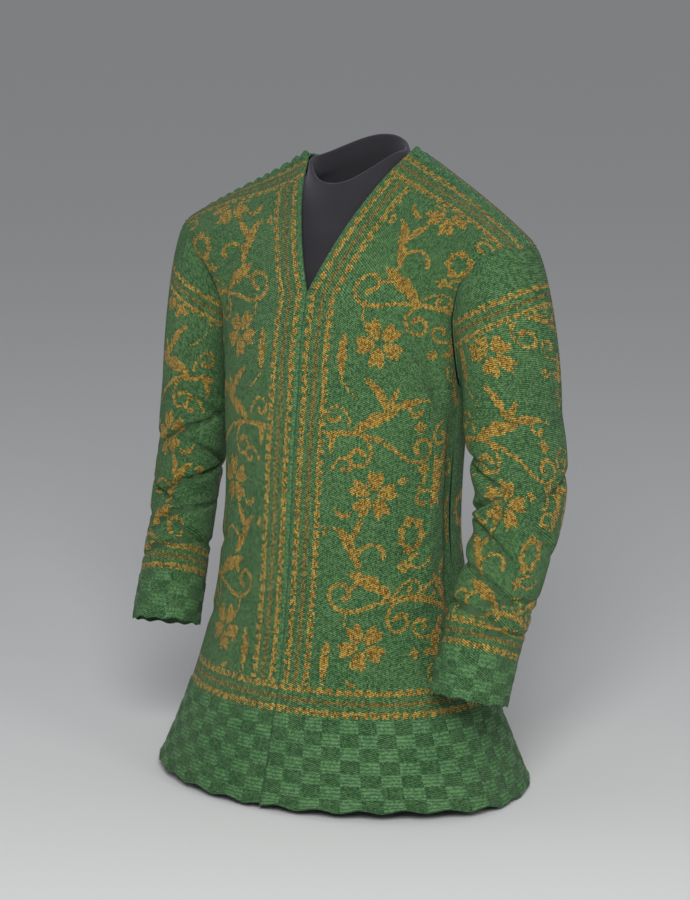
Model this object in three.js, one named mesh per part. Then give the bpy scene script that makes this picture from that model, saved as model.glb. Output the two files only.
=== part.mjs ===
// A hip-length knitted jacket, open in a deep V, standing on the hollow limbless form that wears it.
// Units are millimetres. +Z is up, the front faces -Y and the wearer's left is +X. The flat foot of
// the form lies on z = 0 with its centre at the origin.
import * as THREE from "three";

// ---------- driving dimensions ----------
const WALL = 2.5; // knitted cloth
const SEAM_GAP = 0.3; // between two sewn edges
const LEAST_LEAN = 0.6; // keeps a mitred edge from growing long where two pieces meet at a fold
const HEM_Z = 6;
const UNDERARM_Z = 430;
const NECK_HALF = 62; // centre line to the neck end of the shoulder seam
const TIP_HALF = 205; // centre line to the arm end of the shoulder seam
const V_RISE = 0.37; // share of the rise from underarm to shoulder at which the V opens
const BACK_NECK_RISE = 0.87; // the same share at the middle of the back neck edge
const SECTION_POWER = 2.1; // 2 is an ellipse, more is squarer

// Hem band of raised and sunk knitted blocks.
const BAND_TOP_Z = 98;
const BLOCK_ROWS = 7;
const BLOCKS_PER_FRONT = 13;
const BLOCK_RELIEF = 0.9;
const BLOCK_MARGIN = 0.09; // share of a block taken by its sloping border
const HEM_WAVE = 2.4; // height of the hem's scallops
const HEM_WAVE_BLOCKS = 2; // blocks to a scallop

// Cuff band of the same blocks.
const CUFF_HEIGHT = 44;
const CUFF_BLOCK_ROWS = 4;
const CUFF_BLOCKS = 12;
const CUFF_RELIEF = 0.7;
const CUFF_WAVE = 2.2;

// Grid counts.
const LOWER_ROWS = 11; // from the hem band to the underarm
const V_ROWS = 4; // from the underarm to the V
const YOKE_ROWS = 8; // from the V to the shoulder seam
const NECK_COLUMNS = 4; // of the back, on each side of the centre
const CAP_RINGS = 7; // of a sleeve, from the armhole to the upper arm
const ARM_RINGS = 17; // of a sleeve, from the upper arm to the cuff band

const GREEN = 0x1f7a45;
const DEEP_GREEN = 0x1a6b3d;
const FORM_GREY = 0x3a3844;

// Cross-sections of the jacket's body: half width, front and back as distances in y, side seam in y.
const BODY = [
  { z: 6, half: 205, front: -167, back: 164, side: -4 },
  { z: 50, half: 186, front: -153, back: 147, side: -5 },
  { z: 98, half: 167, front: -140, back: 129, side: -6 },
  { z: 133, half: 156, front: -131, back: 119, side: -6 },
  { z: 172, half: 145, front: -124, back: 109, side: -6 },
  { z: 215, half: 137, front: -118, back: 100, side: -5 },
  { z: 280, half: 130.5, front: -112, back: 91, side: -4 },
  { z: 340, half: 131, front: -108, back: 89, side: -3 },
  { z: 400, half: 135, front: -102, back: 92, side: -2 },
  { z: 430, half: 138, front: -98, back: 95, side: -2 },
];

// From underarm to shoulder seam, by share of the rise: half width of the section that the panels lie
// on, and how far the front and back reach out to the armhole.
const YOKE = [
  { rise: 0.0, half: 138, frontEdge: 138, backEdge: 138 },
  { rise: 0.13, half: 139.5, frontEdge: 138, backEdge: 139 },
  { rise: 0.27, half: 142, frontEdge: 138, backEdge: 140.5 },
  { rise: 0.37, half: 147, frontEdge: 139.5, backEdge: 144 },
  { rise: 0.49, half: 161, frontEdge: 146, backEdge: 152 },
  { rise: 0.6, half: 183, frontEdge: 154, backEdge: 161 },
  { rise: 0.7, half: 212, frontEdge: 165, backEdge: 171 },
  { rise: 0.86, half: 266, frontEdge: 181, backEdge: 186 },
  { rise: 0.94, half: 285, frontEdge: 191, backEdge: 194 },
  { rise: 1.0, half: 300, frontEdge: 205, backEdge: 205 },
];

// How the panels turn in to the shoulder seam: a higher curl keeps them upright for longer, a higher
// round makes a fuller shoulder.
const CURL = {
  front: { neckCurl: 2.1, neckRound: 1.2, tipCurl: 3.0, tipRound: 2.2 },
  back: { neckCurl: 3.2, neckRound: 2.2, tipCurl: 3.0, tipRound: 2.2 },
};

// The shoulder seam seen from the front and from above.
const SHOULDER = [
  { x: 0, z: 688, y: 22 },
  { x: 62, z: 661, y: 22 },
  { x: 100, z: 640, y: 21 },
  { x: 150, z: 613, y: 18 },
  { x: 190, z: 589, y: 15 },
  { x: 205, z: 577, y: 13 },
  { x: 300, z: 497, y: 10 },
];

// The shoulders are uneven: lift of the wearer's left side by distance from the centre line. The right
// side sinks by as much. It fades out below them.
const LIFT = [
  { x: 0, lift: 0 },
  { x: 40, lift: 4 },
  { x: 80, lift: 5.5 },
  { x: 120, lift: 4 },
  { x: 160, lift: 1 },
  { x: 205, lift: -3 },
  { x: 260, lift: -3 },
];
const LIFT_FROM_Z = 400;
const LIFT_FULL_Z = 640;

// Height of the hem line above its level, by turn in degrees: -90 is the centre front, 0 the wearer's
// left side.
const HEM_LINE = [
  { turn: -180, lift: 0 },
  { turn: -130, lift: 3 },
  { turn: -95, lift: 0.5 },
  { turn: -45, lift: 5 },
  { turn: -20, lift: 2 },
  { turn: 0, lift: -3.5 },
  { turn: 40, lift: -2 },
  { turn: 90, lift: 0 },
  { turn: 180, lift: 0 },
];
const HEM_LINE_TOP_Z = 60;

// A soft flare of the hem in front of the wearer's left side seam.
const FLARE = { turn: -20, broad: 16, depth: 7, topZ: 110 };

// Sleeve axis and section, from cuff to upper arm: how far out the left and right one hang, then long
// and short half width.
const SLEEVE = [
  { z: 120, left: 187, right: 187, y: -68, long: 40, short: 37.5 },
  { z: 160, left: 190, right: 190.5, y: -57, long: 41, short: 36 },
  { z: 195, left: 192, right: 193.5, y: -42, long: 42.5, short: 35.5 },
  { z: 235, left: 196, right: 198, y: -24, long: 44, short: 35.5 },
  { z: 277, left: 201.5, right: 202, y: -7, long: 46, short: 36 },
  { z: 318, left: 203, right: 201, y: 3, long: 49.5, short: 37 },
  { z: 360, left: 199.5, right: 197, y: 7, long: 51.5, short: 39.5 },
  { z: 400, left: 191.5, right: 190.5, y: 8, long: 52, short: 42 },
];
const UPPER_ARM_Z = 400;
const CAP_FULLNESS = 0.75; // how far the sleeve bulges before it hangs
const HANG = [0.03, -0.02, -1]; // the way that the sleeve runs at the upper arm
const SLEEVE_GAP = 0.45; // sideways from the armhole, which leaves SEAM_GAP between the slanted edges
const SECTION_TURN = 50; // degrees from +X to the long axis of the section
const SHOULDER_DROP = [0.5, 0, -0.87]; // the way that the sleeve leaves the armhole

const SIDES = {
  left: { sign: 1, cuffZ: 124, out: "left" },
  right: { sign: -1, cuffZ: 152, out: "right" },
};

// Largest folds of the sleeves: how far down as a share from upper arm to cuff, where around (0 inner,
// 90 front, 180 outer, 270 back), depth, half height as a share of the same length, half breadth in
// degrees around, and slant as a share of the length per degree.
const SLEEVE_FOLDS = {
  left: [
    { down: 0.26, turn: 20, depth: 3.5, high: 0.045, broad: 55, slant: 0.0006 },
    { down: 0.42, turn: 60, depth: 4.5, high: 0.04, broad: 60, slant: -0.0009 },
    { down: 0.56, turn: 35, depth: 4.0, high: 0.035, broad: 50, slant: 0.0008 },
    { down: 0.68, turn: 110, depth: 3.5, high: 0.035, broad: 60, slant: 0.001 },
    { down: 0.8, turn: 70, depth: 4.0, high: 0.03, broad: 65, slant: -0.0007 },
    { down: 0.5, turn: 250, depth: 3.0, high: 0.05, broad: 50, slant: 0.0006 },
  ],
  right: [
    { down: 0.12, turn: 60, depth: 3.5, high: 0.05, broad: 50, slant: 0.0009 },
    { down: 0.33, turn: 80, depth: 4.5, high: 0.045, broad: 60, slant: -0.0008 },
    { down: 0.5, turn: 60, depth: 4.0, high: 0.04, broad: 60, slant: 0.0009 },
    { down: 0.64, turn: 100, depth: 4.0, high: 0.035, broad: 55, slant: -0.0006 },
    { down: 0.78, turn: 60, depth: 3.5, high: 0.035, broad: 60, slant: 0.0007 },
    { down: 0.45, turn: 250, depth: 3.0, high: 0.05, broad: 50, slant: -0.0006 },
  ],
};

// Raised shoulder seam: the two edges oversewn into a small scalloped ridge.
const RIDGE_HALF = 3.2;
const RIDGE_HEIGHT = 3.0;
const RIDGE_SCALLOP = 1.6;
const RIDGE_TIP_SHARE = 0.35; // of the height that is left at the arm end
const RIDGE_WAVES = 12;
const RIDGE_CLEARANCE = 0.55; // above the seam
const RIDGE_NECK_INSET = 2;
const RIDGE_TIP_INSET = 4;
const RIDGE_STEPS_PER_WAVE = 4;

// The form: section by section from foot to neck rim.
const FORM_WALL = 4;
const FORM_FLOOR = 8;
const FORM = [
  { side: 0, toFront: 0, toBack: 0, half: 136, front: -116, back: 94, middle: -6, lean: 1 },
  { side: 70, toFront: 0, toBack: 0, half: 135, front: -115, back: 93, middle: -6, lean: 1 },
  { side: 140, toFront: 0, toBack: 0, half: 133, front: -113, back: 92, middle: -6, lean: 1 },
  { side: 215, toFront: 0, toBack: 0, half: 127, front: -109, back: 90, middle: -5, lean: 1 },
  { side: 280, toFront: 0, toBack: 0, half: 120, front: -103, back: 82, middle: -4, lean: 1 },
  { side: 340, toFront: 0, toBack: 0, half: 120, front: -99, back: 80, middle: -3, lean: 1 },
  { side: 400, toFront: 0, toBack: 0, half: 124, front: -93, back: 83, middle: -2, lean: 1 },
  { side: 440, toFront: 0, toBack: 0, half: 127, front: -88, back: 86, middle: -1, lean: 1 },
  { side: 480, toFront: 0, toBack: 0, half: 128, front: -81, back: 88, middle: 3, lean: 1.05 },
  { side: 520, toFront: 3, toBack: 5, half: 131, front: -70, back: 90, middle: 8, lean: 1.2 },
  { side: 556, toFront: 0, toBack: 12, half: 133, front: -56, back: 90, middle: 14, lean: 1.4 },
  { side: 586, toFront: -8, toBack: 10, half: 130, front: -45, back: 87, middle: 19, lean: 1.6 },
  { side: 606, toFront: -15, toBack: 14, half: 118, front: -38, back: 82, middle: 22, lean: 1.7 },
  { side: 618, toFront: -20, toBack: 19, half: 98, front: -35, back: 77, middle: 22, lean: 1.6 },
  { side: 630, toFront: -23, toBack: 20, half: 78, front: -33, back: 73, middle: 21, lean: 1.4 },
  { side: 643, toFront: -25, toBack: 18, half: 60, front: -32, back: 69, middle: 20, lean: 1.2 },
  { side: 659, toFront: -28, toBack: 17, half: 53, front: -31, back: 67, middle: 18, lean: 1.05 },
];
const FORM_COLUMNS = 36;

// ---------- small helpers ----------
const mix = (a, b, t) => a + (b - a) * t;
const vec = (x, y, z) => new THREE.Vector3(x, y, z);

// Smooth reading of one column of a table, at a value of its key column.
function read(table, key, column, value) {
  const last = table.length - 1;
  const clamped = Math.min(Math.max(value, table[0][key]), table[last][key]);
  let i = 0;
  while (i < last - 1 && clamped > table[i + 1][key]) i += 1;
  const [a, b] = [table[i], table[i + 1]];
  const span = b[key] - a[key];
  const slope = (j) => {
    const [p, q] = [table[Math.max(j - 1, 0)], table[Math.min(j + 1, last)]];
    return (q[column] - p[column]) / (q[key] - p[key]);
  };
  const t = (clamped - a[key]) / span;
  const [t2, t3] = [t * t, t * t * t];
  return (
    (2 * t3 - 3 * t2 + 1) * a[column] +
    (t3 - 2 * t2 + t) * span * slope(i) +
    (3 * t2 - 2 * t3) * b[column] +
    (t3 - t2) * span * slope(i + 1)
  );
}

// A closed body under construction.
class Solid {
  constructor() {
    this.points = [];
    this.faces = [];
  }

  add(point) {
    return this.points.push(point) - 1;
  }

  row(points) {
    return points.map((point) => this.add(point));
  }

  // Triangles between two runs of points. They face the side from which both runs go to the right and
  // the second is the upper one.
  strip(low, high) {
    const shares = (run) => {
      const sums = [0];
      for (let i = 1; i < run.length; i += 1) {
        sums.push(sums[i - 1] + this.points[run[i]].distanceTo(this.points[run[i - 1]]));
      }
      return sums.map((sum) => sum / sums[sums.length - 1]);
    };
    const [lowShare, highShare] = [shares(low), shares(high)];
    let [i, j] = [0, 0];
    while (i < low.length - 1 || j < high.length - 1) {
      const nextLow = i + 1 < low.length ? lowShare[i + 1] : Infinity;
      const nextHigh = j + 1 < high.length ? highShare[j + 1] : Infinity;
      if (nextLow <= nextHigh + 1e-6) {
        this.faces.push([low[i], low[i + 1], high[j]]);
        i += 1;
      } else {
        this.faces.push([low[i], high[j + 1], high[j]]);
        j += 1;
      }
    }
  }

  sheet(rows) {
    for (let r = 0; r + 1 < rows.length; r += 1) this.strip(rows[r], rows[r + 1]);
  }

  // Outer and inner rows, both from left to right as seen from outside, closed along all four edges.
  shell(outer, inner) {
    this.sheet(outer);
    this.sheet(inner.map((row) => [...row].reverse()));
    const firsts = (rows) => rows.map((row) => row[0]);
    const lasts = (rows) => rows.map((row) => row[row.length - 1]);
    this.strip(inner[0], outer[0]);
    this.strip(outer[outer.length - 1], inner[inner.length - 1]);
    this.strip(firsts(outer), firsts(inner));
    this.strip(lasts(inner), lasts(outer));
  }

  // The named mesh of this body, with the shoulders' uneven lift on every point.
  mesh(name, colour, mirrored = false, roughness = 0.7) {
    for (const point of this.points) {
      const fade = THREE.MathUtils.smoothstep(point.z, LIFT_FROM_Z, LIFT_FULL_Z);
      point.z += Math.sign(point.x) * read(LIFT, "x", "lift", Math.abs(point.x)) * fade;
    }
    const geometry = new THREE.BufferGeometry();
    const order = mirrored ? (f) => [f[0], f[2], f[1]] : (f) => f;
    const numbers = this.points.flatMap((p) => [p.x, p.y, p.z]);
    geometry.setAttribute("position", new THREE.Float32BufferAttribute(numbers, 3));
    geometry.setIndex(this.faces.flatMap(order));
    geometry.computeVertexNormals();
    const material = new THREE.MeshStandardMaterial({ color: colour, roughness, metalness: 0 });
    const mesh = new THREE.Mesh(geometry, material);
    mesh.name = name;
    return mesh;
  }
}

// ---------- the body of the jacket ----------
// Share of a section's depth that is left at a share of the rise to the shoulder seam.
function depthLeft(rise, x, isFront) {
  const shape = isFront ? CURL.front : CURL.back;
  const out = THREE.MathUtils.smoothstep(Math.abs(x), NECK_HALF, TIP_HALF);
  const curl = mix(shape.neckCurl, shape.tipCurl, out);
  const round = mix(shape.neckRound, shape.tipRound, out);
  return Math.pow(Math.max(0, 1 - Math.pow(rise, curl)), 1 / round);
}

// Point of the body's outer face. turn: -90 degrees is the centre front, 0 the wearer's left side and
// 90 the centre back. level: 0 to 1 from hem to underarm, 1 to 2 from underarm to shoulder seam.
function bodyPoint(turn, level) {
  const across = Math.sign(Math.cos(turn)) * Math.pow(Math.abs(Math.cos(turn)), 2 / SECTION_POWER);
  const depth = Math.pow(Math.abs(Math.sin(turn)), 2 / SECTION_POWER);
  const isFront = Math.sin(turn) < 0;
  if (level <= 1) {
    const z = mix(HEM_Z, UNDERARM_Z, level);
    const side = read(BODY, "z", "side", z);
    const reach = read(BODY, "z", isFront ? "front" : "back", z) - side;
    return vec(read(BODY, "z", "half", z) * across, side + reach * depth, z);
  }
  const rise = level - 1;
  const x = read(YOKE, "rise", "half", rise) * across;
  const top = BODY[BODY.length - 1];
  const seamY = read(SHOULDER, "x", "y", Math.abs(x));
  const side = mix(top.side, seamY, Math.pow(rise, 1.5));
  const reach = (isFront ? top.front : top.back) - top.side;
  const z = mix(UNDERARM_Z, read(SHOULDER, "x", "z", Math.abs(x)), rise);
  return vec(x, side + reach * depthLeft(rise, x, isFront) * depth, z);
}

// Outward direction of that face.
function bodyNormal(turn, level) {
  const step = 1e-3;
  const low = Math.max(level - step, 0);
  const high = Math.min(level + step, 2 - step);
  const around = bodyPoint(turn + step, high).sub(bodyPoint(turn - step, high));
  const up = bodyPoint(turn, Math.max(high, low + step)).sub(bodyPoint(turn, low));
  return around.cross(up).normalize();
}

// Gives a point of the skirt its flare and its place above the uneven hem line. The wearer's right
// front is made as a left one and mirrored, so its turn is read from the other side.
function shapeSkirt(point, turn, mirrored) {
  const degrees = THREE.MathUtils.radToDeg(mirrored ? -Math.PI - turn : turn);
  const { z } = point;
  const flare = FLARE.depth * Math.exp(-(((degrees - FLARE.turn) / FLARE.broad) ** 2));
  const low = 1 - THREE.MathUtils.smoothstep(z, HEM_Z, FLARE.topZ);
  point.addScaledVector(vec(Math.cos(turn), Math.sin(turn), 0), flare * low);
  const fade = 1 - THREE.MathUtils.smoothstep(z, HEM_Z, HEM_LINE_TOP_Z);
  point.z += read(HEM_LINE, "turn", "lift", degrees) * fade;
}

// Turn at which the body's section reaches a given x, on the front or the back.
function turnAt(x, rise, isFront) {
  const share = Math.min(Math.abs(x) / read(YOKE, "rise", "half", rise), 1);
  const turn = Math.acos(Math.pow(share, SECTION_POWER / 2));
  return isFront ? -turn : turn;
}

// Shares of the rise at which the rows above the underarm lie.
const yokeRises = [];
for (let i = 1; i <= V_ROWS; i += 1) yokeRises.push((V_RISE * i) / V_ROWS);
for (let i = 1; i <= YOKE_ROWS; i += 1) {
  yokeRises.push(V_RISE + (1 - V_RISE) * (1 - Math.pow(1 - i / YOKE_ROWS, 1.35)));
}

const lowerLevel = (z) => (z - HEM_Z) / (UNDERARM_Z - HEM_Z);
const armholeTurn = (rise, isFront) =>
  turnAt(read(YOKE, "rise", isFront ? "frontEdge" : "backEdge", rise), rise, isFront);

// ---------- armhole, shared by panels and sleeve ----------
// The wearer's left armhole as a ring: underarm, up the front to the shoulder tip, down the back.
const armhole = [];
{
  const rises = [0, ...yokeRises];
  const front = rises.map((rise) => ({ rise, isFront: true }));
  const back = rises.slice(1, -1).map((rise) => ({ rise, isFront: false })).reverse();
  const leave = vec(...SHOULDER_DROP).normalize();
  for (const { rise, isFront } of [...front, ...back]) {
    const turn = rise === 0 ? 0 : armholeTurn(rise, isFront);
    const point = bodyPoint(turn, 1 + rise);
    const panel = bodyNormal(turn, 1 + rise);
    if (rise === 1) panel.add(bodyNormal(-turn, 1 + rise)).normalize();
    armhole.push({ rise, isFront, point, panel });
  }
  armhole.forEach((edge, i) => {
    const next = armhole[(i + 1) % armhole.length].point;
    const before = armhole[(i + armhole.length - 1) % armhole.length].point;
    edge.sleeve = leave.clone().cross(next.clone().sub(before)).normalize();
    const inward = edge.panel.clone().add(edge.sleeve).normalize();
    edge.inward = inward.multiplyScalar(-WALL / Math.max(inward.dot(edge.panel), LEAST_LEAN));
  });
}
const armholeInward = (rise, isFront) => {
  const atEnd = rise === 0 || rise === 1;
  const here = (edge) => Math.abs(edge.rise - rise) < 1e-9 && (atEnd || edge.isFront === isFront);
  return armhole.find(here).inward;
};

// Step from the outer to the inner face of a panel.
function panelInward(turn, level, atArmhole, isFront) {
  if (atArmhole && level >= 1) {
    const step = armholeInward(level - 1, isFront).clone();
    if (Math.cos(turn) < 0) step.x *= -1; // the wearer's right armhole mirrors the left
    return step;
  }
  const normal = bodyNormal(turn, level);
  if (level < 2) return normal.multiplyScalar(-WALL);
  const both = bodyNormal(-turn, level).add(normal).normalize();
  return both.multiplyScalar(-WALL / Math.max(both.dot(normal), LEAST_LEAN));
}

const hemWave = (block) => HEM_WAVE * 0.5 * (1 - Math.cos((2 * Math.PI * block) / HEM_WAVE_BLOCKS));

// One panel of the body. Its columns are counted by their share of the panel's width, from the left as
// seen from outside. columnTurn(share, rise) is a column's turn, topRise(share, level) the level of a
// row above the underarm at that column, and atArmhole(share) tells whether the column ends there.
// shift moves the whole panel off its seams. The wearer's right front is made as a left one, mirrored.
function panel({ blocks, columnTurn, topRise, atArmhole, shift, firstBlock, mirrored }) {
  const solid = new Solid();
  const place = (share, level, raise = 0, drop = 0) => {
    const rise = level - 1;
    const turn = columnTurn(share, Math.max(rise, 0));
    const outer = bodyPoint(turn, level);
    outer.addScaledVector(bodyNormal(turn, level), raise);
    shapeSkirt(outer, turn, mirrored);
    outer.add(shift);
    outer.z += drop;
    return { outer, inward: () => panelInward(turn, level, atArmhole(share), Math.sin(turn) < 0) };
  };
  const shares = Array.from({ length: blocks + 1 }, (_, i) => i / blocks);
  const outerRows = [];
  const innerRows = [];

  const lines = (count) => {
    const list = [];
    for (let i = 0; i < count; i += 1) list.push([i, i + BLOCK_MARGIN], [i, i + 1 - BLOCK_MARGIN]);
    return list;
  };
  const columnLines = lines(blocks);
  columnLines[0][1] = 0;
  columnLines[columnLines.length - 1][1] = blocks;
  const rowLines = lines(BLOCK_ROWS);
  rowLines[0][1] = 0;
  for (const [blockRow, height] of rowLines) {
    const level = lowerLevel(mix(HEM_Z, BAND_TOP_Z, height / BLOCK_ROWS));
    const row = columnLines.map(([block, along]) => {
      const raised = (block + blockRow + firstBlock) % 2 === 0;
      const drop = height === 0 ? hemWave(along + firstBlock) : 0;
      return place(along / blocks, level, raised ? BLOCK_RELIEF : 0, drop).outer;
    });
    outerRows.push(solid.row(row));
  }
  const coarse = (level, both) => {
    const cells = shares.map((share) => place(share, level > 1 ? topRise(share, level) : level));
    if (both) outerRows.push(solid.row(cells.map((cell) => cell.outer)));
    innerRows.push(solid.row(cells.map((cell) => cell.outer.clone().add(cell.inward()))));
  };
  const hemCells = shares.map((share) => place(share, 0, 0, hemWave(share * blocks + firstBlock)));
  innerRows.push(solid.row(hemCells.map((cell) => cell.outer.clone().add(cell.inward()))));
  coarse(lowerLevel((HEM_Z + BAND_TOP_Z) / 2), false);
  for (let i = 0; i <= LOWER_ROWS; i += 1) {
    coarse(i === LOWER_ROWS ? 1 : lowerLevel(mix(BAND_TOP_Z, UNDERARM_Z, i / LOWER_ROWS)), true);
  }
  for (const rise of yokeRises) coarse(1 + rise, true);
  solid.shell(outerRows, innerRows);
  return solid;
}

const half = SEAM_GAP / 2;

function frontPanel(sign) {
  const name = sign > 0 ? "front_left" : "front_right";
  const neckX = (rise) => (NECK_HALF * Math.max(rise - V_RISE, 0)) / (1 - V_RISE);
  const columnTurn = (share, rise) => {
    const innerTurn = rise > V_RISE ? turnAt(neckX(rise), rise, true) : -Math.PI / 2;
    const outerTurn = rise > 0 ? armholeTurn(rise, true) : 0;
    return mix(innerTurn, outerTurn, share);
  };
  const solid = panel({
    blocks: BLOCKS_PER_FRONT,
    columnTurn,
    topRise: (share, level) => level,
    atArmhole: (share) => share === 1,
    shift: vec(half, -half, 0),
    firstBlock: sign > 0 ? 0 : 1,
    mirrored: sign < 0,
  });
  for (const point of solid.points) point.x *= sign;
  return solid.mesh(name, GREEN, sign < 0);
}

function backPanel() {
  const blocks = 2 * BLOCKS_PER_FRONT;
  const neckShare = NECK_COLUMNS / BLOCKS_PER_FRONT;
  const columnTurn = (share, rise) => {
    const side = Math.abs(share - 0.5) * 2; // 0 at the centre back, 1 at a side
    const outerTurn = rise > 0 ? armholeTurn(rise, false) : 0;
    const evenTurn = mix(Math.PI / 2, outerTurn, neckShare);
    const neckTurn = mix(evenTurn, turnAt(NECK_HALF, rise, false), Math.pow(rise, 2));
    const turn = side < neckShare
      ? mix(Math.PI / 2, neckTurn, side / neckShare)
      : mix(neckTurn, outerTurn, (side - neckShare) / (1 - neckShare));
    return share < 0.5 ? turn : Math.PI - turn;
  };
  const topRise = (share, level) => {
    const side = Math.abs(share - 0.5) * 2;
    const scoop = side < neckShare ? Math.sqrt(1 - Math.pow(side / neckShare, 2)) : 0;
    return 1 + (level - 1) * (1 - (1 - BACK_NECK_RISE) * scoop);
  };
  const solid = panel({
    blocks,
    columnTurn,
    topRise,
    atArmhole: (share) => share === 0 || share === 1,
    shift: vec(0, half, 0),
    firstBlock: BLOCKS_PER_FRONT,
    mirrored: false,
  });
  return solid.mesh("back", GREEN);
}

// ---------- sleeves ----------
const RING = armhole.length;
const armTurn = (share) => Math.PI + 2 * Math.PI * share; // inner side, front, outer side, back

function foldAt(folds, down, degrees) {
  let depth = 0;
  for (const fold of folds) {
    let away = degrees - fold.turn;
    away -= 360 * Math.round(away / 360);
    const along = (down - fold.down - fold.slant * away) / fold.high;
    depth += fold.depth * Math.exp(-along * along - (away / fold.broad) ** 2);
  }
  return depth;
}

// Outer point of the left-hand sleeve's tube below the upper arm, before it is mirrored.
function sleevePoint(side, folds, down, share) {
  const height = (d) => mix(UPPER_ARM_Z, side.cuffZ, d);
  const axis = (d) => {
    const z = height(d);
    return vec(read(SLEEVE, "z", side.out, z), read(SLEEVE, "z", "y", z), z);
  };
  const step = 0.02;
  const [above, below] = [Math.max(down - step, 0), Math.min(down + step, 1)];
  const along = axis(below).sub(axis(above)).normalize();
  const outward = vec(1, 0, 0).addScaledVector(along, -along.x).normalize();
  const backward = vec(0, 0, 1).cross(outward).normalize();
  backward.addScaledVector(along, -backward.dot(along)).normalize();
  const turn = armTurn(share);
  const fromLong = turn - THREE.MathUtils.degToRad(SECTION_TURN);
  const long = read(SLEEVE, "z", "long", height(down));
  const short = read(SLEEVE, "z", "short", height(down));
  const radius = (long * short) / Math.hypot(short * Math.cos(fromLong), long * Math.sin(fromLong));
  const reach = radius - foldAt(folds, down, share * 360);
  return axis(down)
    .addScaledVector(outward, reach * Math.cos(turn))
    .addScaledVector(backward, reach * Math.sin(turn));
}

function sleeve(name, side, folds) {
  const solid = new Solid();
  const leave = vec(...SHOULDER_DROP).normalize();
  const ends = armhole.map((_, i) => sleevePoint(side, folds, 0, i / RING));
  const starts = armhole.map((edge) => edge.point.clone().add(vec(SLEEVE_GAP, 0, 0)));
  // Rings from the armhole to the upper arm follow one smooth curve for each point of the ring.
  const capPoint = (i, t) => {
    const length = starts[i].distanceTo(ends[i]);
    const [t2, t3] = [t * t, t * t * t];
    return starts[i].clone().multiplyScalar(2 * t3 - 3 * t2 + 1)
      .addScaledVector(leave, (t3 - 2 * t2 + t) * length * CAP_FULLNESS)
      .addScaledVector(ends[i], 3 * t2 - 2 * t3)
      .addScaledVector(vec(...HANG), (t3 - t2) * length);
  };
  const rings = [];
  for (let r = 0; r < CAP_RINGS; r += 1) rings.push(armhole.map((_, i) => capPoint(i, r / CAP_RINGS)));
  const cuffStart = 1 - CUFF_HEIGHT / (UPPER_ARM_Z - side.cuffZ);
  for (let r = 0; r <= ARM_RINGS; r += 1) {
    const down = (cuffStart * r) / ARM_RINGS;
    rings.push(armhole.map((_, i) => sleevePoint(side, folds, down, i / RING)));
  }
  // Outward direction at a point of a ring, from its neighbours.
  const outward = (r, i) => {
    const around = rings[r][(i + 1) % RING].clone().sub(rings[r][(i + RING - 1) % RING]);
    const down = rings[Math.min(r + 1, rings.length - 1)][i].clone().sub(rings[Math.max(r - 1, 0)][i]);
    return down.cross(around).normalize();
  };
  const closed = (run) => [...run, run[0]];
  const outer = rings.map((ring) => closed(solid.row(ring)));
  const inner = rings.map((ring, r) =>
    closed(solid.row(ring.map((point, i) =>
      point.clone().add(r === 0 ? armhole[i].inward : outward(r, i).multiplyScalar(-WALL))))));

  // Cuff band: raised and sunk blocks, three lines to a block around, two along.
  const cuffPoint = (down, share, raise, lift = 0) => {
    const point = sleevePoint(side, [], down, share);
    const centre = sleevePoint(side, [], down, share + 0.5).add(point).multiplyScalar(0.5);
    point.add(point.clone().sub(centre).normalize().multiplyScalar(raise));
    point.z += lift;
    return point;
  };
  const wave = (share) => CUFF_WAVE * 0.5 * (1 - Math.cos(2 * Math.PI * CUFF_BLOCKS * share));
  for (let row = 0; row < CUFF_BLOCK_ROWS; row += 1) {
    for (const edge of [BLOCK_MARGIN, row === CUFF_BLOCK_ROWS - 1 ? 1 : 1 - BLOCK_MARGIN]) {
      const down = mix(cuffStart, 1, (row + edge) / CUFF_BLOCK_ROWS);
      const ring = [];
      for (let block = 0; block < CUFF_BLOCKS; block += 1) {
        for (const line of [BLOCK_MARGIN, 0.5, 1 - BLOCK_MARGIN]) {
          const share = (block + line) / CUFF_BLOCKS;
          const raised = (block + row) % 2 === 0;
          ring.push(cuffPoint(down, share, raised ? CUFF_RELIEF : 0, down === 1 ? wave(share) : 0));
        }
      }
      outer.push(closed(solid.row(ring)));
    }
  }
  for (const down of [mix(cuffStart, 1, 0.5), 1]) {
    inner.push(closed(solid.row(armhole.map((_, i) =>
      cuffPoint(down, i / RING, -WALL, down === 1 ? wave(i / RING) : 0)))));
  }
  solid.sheet(inner);
  solid.sheet(outer.map((ring) => [...ring].reverse()));
  solid.strip(outer[0], inner[0]);
  solid.strip(inner[inner.length - 1], outer[outer.length - 1]);
  for (const point of solid.points) point.x *= side.sign;
  return solid.mesh(name, GREEN, side.sign < 0);
}

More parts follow.
